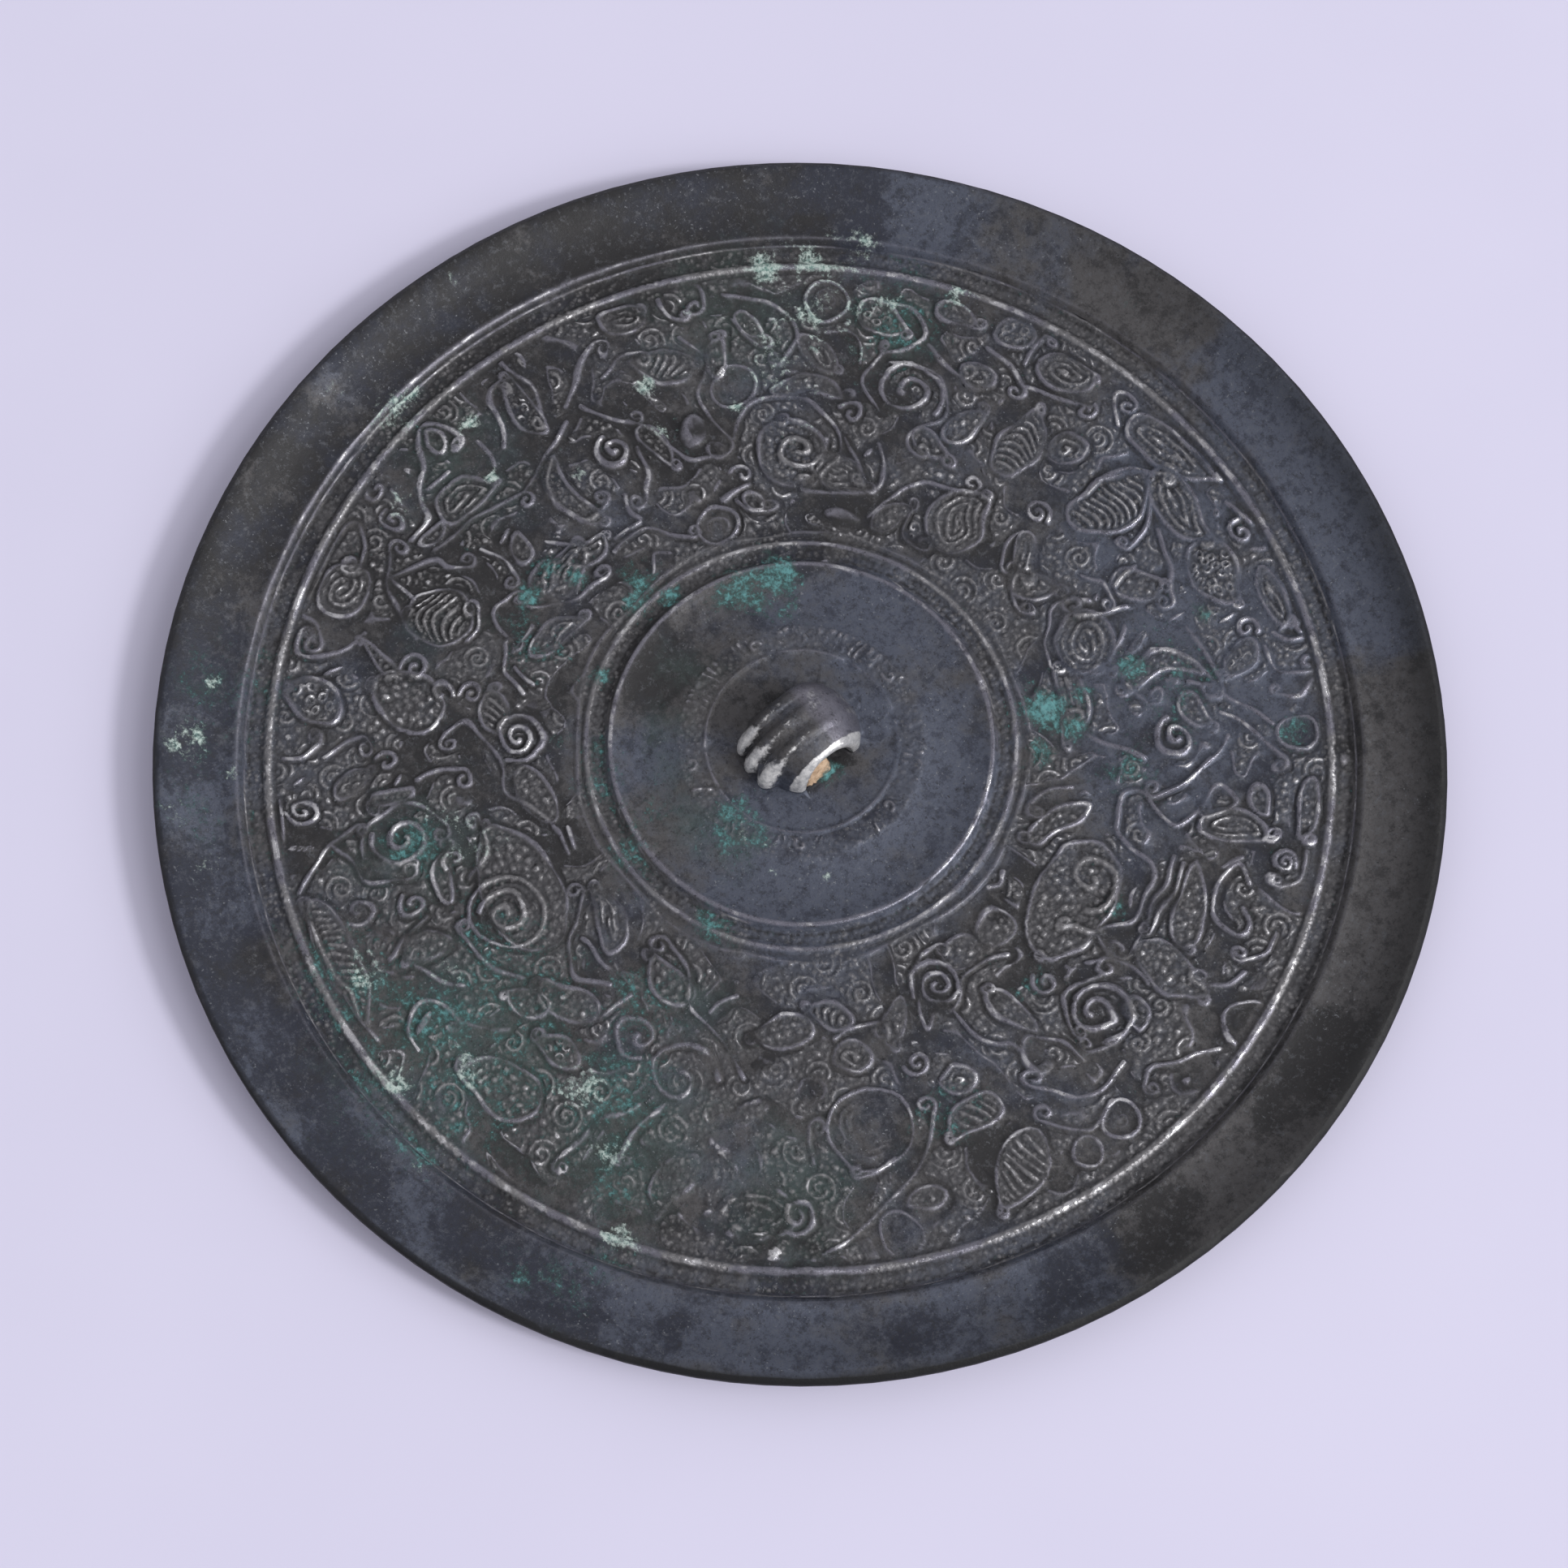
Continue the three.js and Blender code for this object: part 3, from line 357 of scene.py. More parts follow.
THIRDS = [FIRST_THIRD, SECOND_THIRD, THIRD_THIRD]
THIRD_START = 47.5
print("motifs in each third:", [len(rows) for rows in THIRDS])

# %% [markdown]
# ## Drawing a motif
# Each kind turns into one outline or one line, in millimetres about the motif's own place,
# with x clockwise round the mirror and y outward. Distance to that line is all that the
# relief needs: a ridge follows it, and a leaf's fill lies inside it. Runs that meet end to
# end are joined first and drawn as one smooth line, so a tendril flows as it does on the
# real mirror. Most tendrils and leaves end in a small hook, which is wound on at the tip.

# %% Outlines and lines
LEAF_STEPS = 13


def leaf_outline(length, width, heading, bend, head, tail):
    share = 0.5 - 0.5 * np.cos(np.pi * np.arange(LEAF_STEPS + 1) / LEAF_STEPS)
    along = (share - 0.5) * length
    start, curve = math.radians(heading), math.radians(bend) / length
    angle = start + curve * along
    if bend:
        x, y = (np.sin(angle) - np.sin(start)) / curve, (np.cos(start) - np.cos(angle)) / curve
    else:
        x, y = along * math.cos(start), along * math.sin(start)
    crest_and_sheen = head / (head + tail)
    peak = crest_and_sheen ** head * (1 - crest_and_sheen) ** tail
    half = 0.5 * width * share ** head * (1 - share) ** tail / peak
    left = np.stack([x - half * np.sin(angle), y + half * np.cos(angle)], 1)
    right = np.stack([x + half * np.sin(angle), y - half * np.cos(angle)], 1)
    return np.concatenate([left, right[::-1][1:-1], left[:1]])


def joined_runs(rows):
    """Chains the runs that meet end to end, keeping the bow of each."""
    chains = []
    for kind, *row in rows:
        if kind != "run":
            continue
        start, end, bow = tuple(row[0:2]), tuple(row[2:4]), row[4]
        chain = next((c for c in chains if c[-1][:2] == start), None)
        if chain is None:
            chain = [start]
            chains.append(chain)
        chain.append((*end, bow))
    return chains


def smooth_line(chain):
    """A chain as a smooth line in mm about its middle turn and radius, with that place."""
    turn = sum(p[0] for p in chain) / len(chain)
    radius = sum(p[1] for p in chain) / len(chain)
    corners = []
    for t, r, *bow in chain:
        angle = math.radians(t - turn)
        here = np.array([r * math.sin(angle), r * math.cos(angle) - radius])
        if bow:
            along = here - corners[-1]
            left = np.array([-along[1], along[0]])
            corners.append((here + corners[-1]) / 2 + bow[0] * left / np.hypot(*along))
        corners.append(here)
    knots = np.array([2 * corners[0] - corners[1], *corners, 2 * corners[-1] - corners[-2]])
    share = np.linspace(0, 1, 6, endpoint=False)[:, None]
    parts = []
    for a, b, c, d in zip(knots, knots[1:], knots[2:], knots[3:]):
        parts.append(0.5 * (2 * b + (c - a) * share + (2 * a - 5 * b + 4 * c - d) * share ** 2
                            + (3 * b - a - 3 * c + d) * share ** 3))
    return turn, radius, np.concatenate(parts + [knots[-2:-1]])


HOOK_STEPS, HOOK_STEP = 13, 0.42


def hooked(line, hand, size):
    """The line with a small hook wound on its end."""
    heading = math.atan2(*(line[-1] - line[-2])[::-1])
    here, hook = line[-1], []
    for k in range(HOOK_STEPS):
        heading += hand * HOOK_STEP / (size * (1 - 0.05 * k))
        here = here + HOOK_STEP * np.array([math.cos(heading), math.sin(heading)])
        hook.append(here)
    return np.concatenate([line, hook])


def curl_line(size, turns, start, hand):
    share = np.linspace(0, 1, int(14 * turns) + 3)
    angle = math.radians(start) + hand * 2 * np.pi * turns * share
    reach = size * (1 - 0.85 * share)
    return np.stack([reach * np.cos(angle), reach * np.sin(angle)], 1)


def ring_line(size):
    angle = np.linspace(0, 2 * np.pi, 21)
    return np.stack([size * np.cos(angle), size * np.sin(angle)], 1)


FAR = 1e9


def distance(x, y, line):
    """Distance in mm to a line, and whether each point is inside it if it closes."""
    nearest, inside = np.full(x.shape, FAR), np.zeros(x.shape, bool)
    for (ax, ay), (bx, by) in zip(line[:-1], line[1:]):
        dx, dy = bx - ax, by - ay
        share = np.clip(((x - ax) * dx + (y - ay) * dy) / (dx * dx + dy * dy + 1e-9), 0, 1)
        nearest = np.minimum(nearest, (x - ax - share * dx) ** 2 + (y - ay - share * dy) ** 2)
        if ay != by:
            inside ^= ((ay > y) != (by > y)) & (x < dx * (y - ay) / dy + ax)
    return np.sqrt(nearest), inside


print("points in a leaf's outline:", len(leaf_outline(9, 5, 0, 20, 0.5, 0.5)))

# %% [markdown]
# ## A fine grid over the field
# The relief is a height at every point of a polar grid, a fifth of a millimetre apart. Each
# motif only touches the rows and columns near it, so we cut out that patch, work in its
# own millimetres, and keep what stands highest. A little drift moves every place about, so
# that no line runs quite true, as in a mould that was cut by hand.

# %% The grid of the field
COLUMNS = 1920
FIELD_STEP = 0.2
field_radius = np.arange(24.4, 69.4, FIELD_STEP)
column_angle = np.arange(COLUMNS) * 2 * np.pi / COLUMNS
grid_x = field_radius[:, None] * np.cos(column_angle)
grid_y = field_radius[:, None] * np.sin(column_angle)
COLUMN_TURN = 2 * np.pi / COLUMNS
WAVER, WAVER_CELL = 1.1, 3.3
waver_x = WAVER * (drift(grid_x, grid_y, WAVER_CELL, 91) - 0.5)
waver_y = WAVER * (drift(grid_x, grid_y, WAVER_CELL, 92) - 0.5)


def patch(third, turn, radius, reach):
    """Rows and columns near a place, and their wavering x and y in mm about it."""
    angle = math.radians(THIRD_START + 120 * third - turn)
    rows = np.nonzero(np.abs(field_radius - radius) < reach)[0]
    half = int(reach / radius / COLUMN_TURN) + 1
    columns = (round(angle / COLUMN_TURN) + np.arange(-half, half + 1)) % COLUMNS
    off = (angle - column_angle[columns] + np.pi) % (2 * np.pi) - np.pi
    r = field_radius[rows][:, None]
    where = np.ix_(rows, columns)
    return where, r * np.sin(off) + waver_x[where], r * np.cos(off) - radius + waver_y[where]


print("grid:", grid_x.shape, "points")

# %% [markdown]
# ## What fills the leaves
# The founder pressed a different small texture into each leaf, so that neighbours read
# apart. Every fill here is a height from 0 to 1, worked out from the place in the leaf's own
# axes and from how far it is from the leaf's edge.

# %% Fills
def fill_height(kind, u, v, inward, seed):
    broken = 0.25 + 1.1 * drift(u, v, 0.85, seed)
    if kind == "b":
        small = granules(u, v, 0.8, 0.36, seed + 3)
        return np.maximum(granules(u, v, 1.32, 0.56, seed), 0.4 * small)
    if kind == "h":
        fanned = u + 0.7 * np.sin(0.8 * v + 0.6 * seed) + 0.12 * v * v
        return (0.5 + 0.5 * np.cos(2 * np.pi * fanned / 1.05)) ** 1.4 * (0.5 + 0.5 * broken)
    if kind in "rs":
        wound = 2 * np.pi * inward / WIRE_PITCH + (-1) ** seed * np.arctan2(v, u)
        return (0.5 + 0.5 * np.cos(wound)) ** 1.4 * broken
    if kind == "l":
        return np.exp(-((nearest_grain(u, v, 1.6, seed, 0.5)[0] - 0.48) / 0.19) ** 2) * broken
    return 1.3 * np.sqrt(np.clip(inward / 0.8, 0, 1))


def ridge(away, half_width):
    """A rounded ridge over a line: 1 on it, 0 beyond its half width."""
    return 0.5 + 0.5 * np.cos(np.pi * np.clip(away / half_width, 0, 1))


nought = np.zeros((1, 1))
print("middle of a beaded fill:", fill_height("b", nought, nought, 1, 5).round(2))

# %% [markdown]
# ## Laying the relief
# The whole field keeps a few layers: how deep each point lies inside a leaf, the leaf's fill
# there, the thin ridges, and how far the nearest motif and the nearest line are, so that the
# ground can leave room round them. Where two motifs cross, the higher one wins.

# %% Lay a line and lay a leaf
leaf_depth, fill, ridges = (np.zeros(grid_x.shape) for _ in range(3))
to_motif, to_line = (np.full(grid_x.shape, 9.0) for _ in range(2))


def keep_highest(layer, where, value):
    layer[where] = np.maximum(layer[where], value)


def lay_line(third, turn, radius, line, half_width, strength=1.0, margin=2.1):
    where, x, y = patch(third, turn, radius, np.hypot(*line.T).max() + margin)
    away, _ = distance(x, y, line)
    to_motif[where] = np.minimum(to_motif[where], away)
    to_line[where] = np.minimum(to_line[where], away)
    keep_highest(ridges, where, ridge(away, half_width) * strength)


LEAF_RIDGE = 0.6  # half the width of a leaf's ridge, in mm


def lay_leaf(third, seed, turn, radius, length, width, heading, kind, bend, head, tail):
    """Lays a leaf. Unless its ends were given, it is drawn out and bent like a drop."""
    if head == tail == 0.5 and kind != "p":
        length, tail, bend = 1.15 * length, 0.7, 75 * (-1) ** seed
    outline = leaf_outline(length, width, heading, bend, head, tail)
    if kind != "p" and length > 5:
        tip = len(outline) // 2
        base = (outline[tip - 1] + outline[tip + 1]) / 2
        hand = math.copysign(1, -bend or 1)
        tail_line = hooked(np.array([base, outline[tip]]), hand, 0.75 + 0.12 * (seed % 3))
        lay_line(third, turn, radius, tail_line, LEAF_RIDGE)
    where, x, y = patch(third, turn, radius, np.abs(outline).max() * 1.42 + 2.4)
    away, inside = distance(x, y, outline)
    heading = math.radians(heading)
    along, across = math.cos(heading), math.sin(heading)
    u, v = x * along + y * across, y * along - x * across
    inward = np.where(inside, away, 0)
    to_motif[where] = np.minimum(to_motif[where], np.where(inside, 0, away))
    if kind == "p":
        keep_highest(ridges, where, fill_height(kind, u, v, inward, seed) * ease(inward, 0, 0.3))
        return
    deeper = inward > leaf_depth[where]
    leaf_depth[where] = np.where(deeper, inward, leaf_depth[where])
    height = fill_height(kind, u, v, inward, seed) * ease(inward, 0.4, 0.8)
    fill[where] = np.where(deeper, height, fill[where])
    keep_highest(ridges, where, ridge(away, LEAF_RIDGE))


print("layers:", ridges.size, "points each")

# %% Every motif in its place
RUN_RIDGE, EYE_RIDGE, PUPIL_RIDGE = 0.66, 0.55, 0.42


def lay(third, seed, kind, turn, radius, *rest):
    if kind == "leaf":
        lay_leaf(third, seed, turn, radius, *rest)
    elif kind == "curl":
        lay_line(third, turn, radius, curl_line(*rest), 0.62 + 0.03 * rest[0], 1.25, 2.4)
    elif kind == "eye":
        size, = rest
        pupil = curl_line(size - 1, (size - 1) / 0.95, 40 * seed, 1)
        lay_line(third, turn, radius, ring_line(size), EYE_RIDGE)
        lay_line(third, turn, radius, pupil, PUPIL_RIDGE, 0.5)


for third, rows in enumerate(THIRDS):
    for seed, row in enumerate(rows):
        lay(third, 7 * seed + 100 * third, *row)
    for seed, chain in enumerate(joined_runs(rows)):
        turn, radius, line = smooth_line(chain)
        bow = chain[-1][2]
        if np.hypot(*(line[-1] - line[0])) > 4 and abs(bow) > 0.25:
            line = hooked(line, -math.copysign(1, bow), 0.9 + 0.15 * (seed % 4))
        lay_line(third, turn, radius, line, RUN_RIDGE)
print("share of the field inside leaves:", round(float((leaf_depth > 0).mean()), 2))

# %% [markdown]
# ## Bodies and ground
# Between the motifs run the dragons' bodies: smooth bands about 4 mm wide, edged by a
# raised line on each side, that wander over the whole field and never cross. Drift that
# swings about zero passes through zero along just such lines, so the distance to its zero
# line draws the bands. What they leave is the ground, packed with small spirals and beads.

# %% Bodies and ground
def from_zero(layer):
    """Distance in mm, near enough, to the line where a layer passes through zero."""
    outward = np.gradient(layer, FIELD_STEP, axis=0)
    arc = field_radius[:, None] * 2 * np.pi / COLUMNS
    around = (np.roll(layer, -1, 1) - np.roll(layer, 1, 1)) / (2 * arc)
    return np.abs(layer) / (np.hypot(outward, around) + 0.03)


SPIRAL_PITCH, HALF_BODY = 5.2, 1.45
swing = drift(grid_x, grid_y, 7.2, 211) - 0.5 + 0.45 * (drift(grid_x, grid_y, 3.9, 223) - 0.5)
body = from_zero(swing)
inside_leaf = ease(leaf_depth, 0.05, 0.5)
apart = ease(to_motif, 0.9, 1.5)
edge = ridge(np.abs(body - HALF_BODY), 0.55) * apart
ground = ease(body, 1.6, 2.0) * ease(to_motif, 0.55, 0.9)
wound, in_spiral = spirals(grid_x, grid_y, SPIRAL_PITCH, 31)
beads = np.maximum(granules(grid_x, grid_y, 1.35, 0.58, 23),
                   0.45 * granules(grid_x, grid_y, 0.8, 0.36, 27))
texture = np.maximum(wound * 0.85, beads * (1 - in_spiral)) * ground
print("share of ground:", round(float(ground.mean()), 2))

# %% [markdown]
# ## From layers to a height
# The leaves stand a little over the bodies and carry their fills, and thin ridges stand
# highest. Some places need their own treatment, and they are read off the mirror as soft
# round patches: degrees and radius of each in the mirror's own axes, its size in millimetres,
# and how dense it is. EATEN ones have lost their ridges, ROUGH ones carry a crust, and LUMPS
# are hard knots of corrosion, the largest of them across the outer groove.

# %% Patches that wear or corrosion left
EATEN = [(-48, 60, 8, 0.9), (-52, 53, 9, 0.75), (-64, 60, 9, 0.6), (-45, 45, 6, 0.5)]
ROUGH = [
    (-86, 56, 17, 1.0), (-62, 54, 14, 1.0), (-40, 56, 12, 0.9), (-112, 50, 14, 0.7),
    (150, 60, 14, 0.8), (190, 58, 13, 0.7), (128, 60, 9, 0.7), (-60, 38, 9, 0.7), (54, 33, 6, 0.5),
    (215, 45, 12, 0.5),
]
ROUGH += [(turn, 17, 5, 0.8) for turn in (200, 222, 245, 268, 290)]
ROUGH += [(turn, 75, 5, 0.5) for turn in (225, 241)]
LUMPS = [
    (-38.5, 66.4, 2.6, 0.9), (-42.5, 64.4, 2.1, 0.7), (-36, 63.6, 1.6, 0.6),
    (48.5, 67.9, 1.2, 0.5), (113, 25.6, 1.6, 0.6), (133, 25.4, 1.5, 0.6), (146, 25.4, 1.0, 0.4),
]


def patches(table, x, y):
    """The densest of some soft round patches: degrees, radius, size and density of each."""
    total = np.zeros(x.shape)
    for degrees, radius, size, dense in table:
        cx, cy = radius * math.cos(math.radians(degrees)), radius * math.sin(math.radians(degrees))
        total = np.maximum(total, dense * np.exp(-((x - cx) ** 2 + (y - cy) ** 2) / size ** 2))
    return total


eaten, rough, lumps = (patches(table, grid_x, grid_y) for table in (EATEN, ROUGH, LUMPS))
print("share of the field eaten:", round(float((eaten > 0.3).mean()), 2))

# %% Height over the field
LEAF_RISE, FILL_RISE, RIDGE_RISE, GROUND_RISE, EDGE_RISE = 0.06, 0.40, 0.46, 0.38, 0.34
r = field_radius[:, None]
cover = band(r, FIELD_FROM - 0.8, FIELD_FROM, FIELD_TO - 0.2, FIELD_TO + 0.2)
wear = 0.66 + 0.6 * layered_drift(grid_x, grid_y, 17, 11)
touch = 0.55 + 0.8 * drift(grid_x, grid_y, 3.1, 13)
fill *= ease(to_line, 0.55, 0.95)
relief = LEAF_RISE * inside_leaf + FILL_RISE * fill * inside_leaf
relief = relief + GROUND_RISE * texture * (1 - inside_leaf)
relief = np.maximum(relief, EDGE_RISE * edge * (1 - inside_leaf))
relief = relief + RIDGE_RISE * touch * ridges * (1 - 0.3 * fill)
relief = relief * wear * (1 - 0.6 * eaten) * cover
sunk_body = 0.08 * (1 - np.maximum(ground, inside_leaf)) * cover
relief += 0.10 * (drift(grid_x, grid_y, 11, 33) - 0.5) - sunk_body
relief += (0.8 * eaten + 0.16 * rough) * (layered_drift(grid_x, grid_y, 1.4, 35) - 0.5)
print("motifs stand up to", relief.max().round(2), "mm over the field")

# %% [markdown]
# ## The rings beside the field
# A thin waving line runs round the foot of the field. Both sunk grooves have a coarse,
# grainy floor. The threads beside the outer one are nicked all round, like a beaded string,
# as if pressed with a notched wheel.

# %% Height of the rings
turn_grid = np.broadcast_to(column_angle, grid_x.shape)
foot_radius = 28.4 + 0.5 * (drift(grid_x, grid_y, 5, 41) - 0.5) + 0.35 * np.sin(9 * turn_grid)
relief = np.maximum(relief, 0.24 * ridge(np.abs(r - foot_radius), 0.6) * wear)
in_groove = band(r, 24.4, 24.9, 26.2, 26.5) + band(r, 67.0, 67.3, 68.8, 69.1)
grit = granules(grid_x, grid_y, 0.85, 0.4, 45) + 0.5 * granules(grid_x, grid_y, 1.7, 0.6, 47)
relief += in_groove * (0.15 * grit + 0.2 * (layered_drift(grid_x, grid_y, 3, 49) - 0.5))

on_thread = ridge(np.abs(r - 66.3), 0.9) + ridge(np.abs(r - 70.1), 1.0)
NICKS = 372
nicks = 0.5 + 0.5 * np.cos(turn_grid * NICKS + 5 * drift(grid_x, grid_y, 4, 51))
relief -= 0.12 * on_thread * nicks * drift(grid_x, grid_y, 5, 52)
relief += 1.1 * lumps * (0.55 + 0.9 * (layered_drift(grid_x, grid_y, 1.3, 55) - 0.3))

field_height = back_height(field_radius)[:, None] + relief
print("relief runs from", relief.min().round(2), "to", relief.max().round(2), "mm")

# %% [markdown]
# ## The plain middle
# Inside the groove the surface is plain but for two fine touches. A faint line rings the
# seat, and round it runs a narrow collar of coarse strokes and grains, broken by small C
# scrolls. The hollowed band beyond is smooth, with the ripple that scraping the mould left
# and a few corroded pits. Where the knob's tunnel opens, a mound of earth has stayed in it,
# on the side that hands and cord didn't reach. It is part of the same skin, because it has
# set as hard as the crust.

# %% Height over the middle
MIDDLE_COLUMNS = 960
MIDDLE_STEP = 0.2
middle_radius = np.arange(2.0, 24.3, MIDDLE_STEP)
middle_angle = np.arange(MIDDLE_COLUMNS) * 2 * np.pi / MIDDLE_COLUMNS
middle_x = middle_radius[:, None] * np.cos(middle_angle)
middle_y = middle_radius[:, None] * np.sin(middle_angle)
middle_r = np.broadcast_to(middle_radius[:, None], middle_x.shape)
on_collar = band(middle_r, 12.4, 12.9, 15.1, 15.6)
slant = 14 * drift(middle_x, middle_y, 2.1, 61) + 0.9 * middle_r
STROKES, SCROLLS, EARTH_HEIGHT = 84, 14, 3.4
hatching = (0.5 + 0.5 * np.cos(STROKES * middle_angle[None, :] + slant)) ** 1.3
grit = granules(middle_x, middle_y, 0.95, 0.45, 65)
uneven = drift(middle_x, middle_y, 1.6, 62)
middle_fine = on_collar * (0.30 * hatching * uneven ** 2 + 0.17 * grit * (1 - 0.5 * uneven))
for k in range(SCROLLS):
    angle, radius = 2 * np.pi * (k + 0.4 * (k % 3)) / SCROLLS + 0.2, 13.6 + 0.5 * (k % 2)
    cx, cy = radius * math.cos(angle), radius * math.sin(angle)
    near = np.hypot(middle_x - cx, middle_y - cy) < 2
    away, _ = distance(middle_x[near] - cx, middle_y[near] - cy, curl_line(0.95, 0.7, 75 * k, 1))
    height = (0.16 + 0.14 * (k % 3 == 0)) * ridge(away, 0.5)
    middle_fine[near] = np.maximum(middle_fine[near] * ease(away, 0.2, 0.6), height)
seat_line = ridge(np.abs(middle_r - 12.05), 0.6) * (0.35 + 0.65 * drift(middle_x, middle_y, 9, 66))
middle_fine += 0.24 * seat_line
middle_fine += 0.10 * (drift(middle_x, middle_y, 8, 63) - 0.5)
middle_fine -= 0.12 * ease(layered_drift(middle_x, middle_y, 2.2, 67), 0.68, 0.78)
earth = band(middle_x, 1.4, 3.0, 4.3, 5.7) * (1 - ease(middle_y, 0.0, 1.2))
earth *= ease(middle_y, -3.6, -2.8)
middle_fine += EARTH_HEIGHT * earth * (0.75 + 0.5 * layered_drift(middle_x, middle_y, 1.5, 69))
middle_height = back_height(middle_r) + middle_fine
print("collar strokes stand up to", round(float((middle_fine * on_collar).max()), 2), "mm")

# %% [markdown]
# ## The rim and the edge
# The rim is broad and plain. It was ground after casting, so it keeps only a slight wave
# and some shallow pits. It sweeps up to a rounded lip at the very edge. Below the lip the
# wall slants inward to its foot, so from above the rim ends in a thin dark line, which the
# finish deepens with painted shade. Underneath is the polished face, which is flat and needs
# few points.

# %% Height over the rim
rim_radius = np.concatenate([np.arange(69.4, 79.6, 0.3), [79.8, 79.95]])
rim_x = rim_radius[:, None] * np.cos(middle_angle)
rim_y = rim_radius[:, None] * np.sin(middle_angle)
rim_height = back_height(rim_radius)[:, None] + 0.14 * (drift(rim_x, rim_y, 12, 71) - 0.5)
rim_height -= 0.10 * ease(layered_drift(rim_x, rim_y, 2.2, 73), 0.66, 0.8)
WALL = [(80.0, 4.6), (79.8, 3.4), (79.3, 1.8), (78.8, 0.6), (78.2, 0.0)]
FACE = [(75.5, 2), (70.0, 4), (45.0, 4), (20.0, 4)]  # radius, and how many times fewer points
print("rim:", rim_height.shape, "points, lip at", rim_height.max().round(2), "mm")

# %% [markdown]
# ## One mesh from the rings
# Every ring of points is stitched to the next, from the middle out, over the edge and back
# to the middle underneath. Where a ring has half as many points as its neighbour, three
# triangles fill each step. That makes one closed skin, as a casting has.

# %% Stitch the rings
def ring_points(radius, height, columns):
    angle = np.arange(columns) * 2 * np.pi / columns
    height = np.broadcast_to(height, columns)
    return np.stack([radius * np.cos(angle), radius * np.sin(angle), height], 1)


def stitch(first, count, second, other):
    """Triangles between two rings of points, given each ring's first number and count."""
    if count == other:
        j = np.arange(count)
        k = (j + 1) % count
        return np.concatenate([
            np.stack([first + j, second + j, second + k], 1),
            np.stack([first + j, second + k, first + k], 1)])
    j = np.arange(min(count, other))
    k = (j + 1) % len(j)
    if count < other:
        a, b, c, d, e = first + j, first + k, second + 2 * j, second + 2 * j + 1, second + 2 * k
        return np.concatenate([np.stack(t, 1) for t in ((a, c, d), (a, d, b), (b, d, e))])
    a, b, c, d, e = second + j, second + k, first + 2 * j, first + 2 * j + 1, first + 2 * k
    return np.concatenate([np.stack(t, 1) for t in ((c, a, d), (d, a, b), (d, b, e))])


print("triangles between rings of 4 and 8:", len(stitch(0, 4, 4, 8)))

# %% One skin
rings = [ring_points(r, h, MIDDLE_COLUMNS) for r, h in zip(middle_radius, middle_height)]
rings += [ring_points(r, h, COLUMNS) for r, h in zip(field_radius, field_height)]
rings += [ring_points(r, h, MIDDLE_COLUMNS) for r, h in zip(rim_radius, rim_height)]
rings += [ring_points(r, h, MIDDLE_COLUMNS) for r, h in WALL]
rings += [ring_points(r, 0.0, MIDDLE_COLUMNS // fewer) for r, fewer in FACE]
points = [np.array([[0, 0, back_height(0)]])] + rings + [np.zeros((1, 3))]
starts = np.cumsum([0] + [len(p) for p in points])
triangles = []
for k in range(1, len(rings)):
    triangles.append(stitch(starts[k], len(rings[k - 1]), starts[k + 1], len(rings[k])))
j = np.arange(MIDDLE_COLUMNS)
triangles.append(np.stack([0 * j, 1 + j, 1 + (j + 1) % MIDDLE_COLUMNS], 1))
j, last, bottom = np.arange(len(rings[-1])), starts[len(rings)], starts[-2]
triangles.append(np.stack([last + j, bottom + 0 * j, last + (j + 1) % len(j)], 1))
points, triangles = np.concatenate(points), np.concatenate(triangles)
print("fine plate:", len(points), "points,", len(triangles), "triangles")

# %% A mesh object from points and triangles
def mesh_object(name, points_mm, triangles):
    mesh = bpy.data.meshes.new(name)
    mesh.vertices.add(len(points_mm))
    mesh.vertices.foreach_set("co", (points_mm * MM).astype(np.float32).ravel())
    mesh.loops.add(3 * len(triangles))
    mesh.loops.foreach_set("vertex_index", triangles.astype(np.int32).ravel())
    mesh.polygons.add(len(triangles))
    mesh.polygons.foreach_set("loop_start", np.arange(0, 3 * len(triangles), 3, dtype=np.int32))
    mesh.update(calc_edges=True)
    mesh.validate()
    thing = bpy.data.objects.new(name, mesh)
    bpy.context.scene.collection.objects.link(thing)
    return thing


def settle(thing):
    """Turns an object's modifiers into its mesh."""
    graph = bpy.context.evaluated_depsgraph_get()
    mesh = bpy.data.meshes.new_from_object(thing.evaluated_get(graph))
    thing.modifiers.clear()
    thing.data = mesh
    return mesh


mirror = mesh_object("cast_mirror", points, triangles)
print("closed skin with", len(mirror.data.polygons), "triangles")

# %% [markdown]
# ## Fewer triangles, same relief
# A million triangles is more than the shape needs. The Decimate modifier collapses edges
# where the surface is flat and keeps them where it turns, so the ridges and grains stay.

# %% Thin out the skin
TRIANGLES_WANTED = 178000
thin = mirror.modifiers.new("thin", "DECIMATE")
thin.ratio = TRIANGLES_WANTED / len(mirror.data.polygons)
settle(mirror)
print("plate now has", len(mirror.data.polygons), "triangles")

# %% [markdown]
# ## The knob
# The knob is a little bridge: an arch over a tunnel, wide enough for a silk cord. Three
# raised cords run over it. Each is a crisp ridge with a round end at one foot, and is rubbed
# away towards the other, where the knob melts into the seat. The mouths of the tunnel are
# narrower than its middle, with a rounded lip that use has polished. We sweep a rounded
# section along the arch. Its points lie between an inner arch, the tunnel's wall, and an
# outer one, whose reach falls from the middle of the section to its lips. The cords end in
# round balls at the worn foot, and swell a little where they meet the seat.

# %% The knob's shape
def arch(half_span, height, squareness, angle):
    across = np.sign(np.cos(angle)) * np.abs(np.cos(angle)) ** (2 / squareness)
    return half_span * across, height * np.abs(np.sin(angle)) ** (2 / squareness)


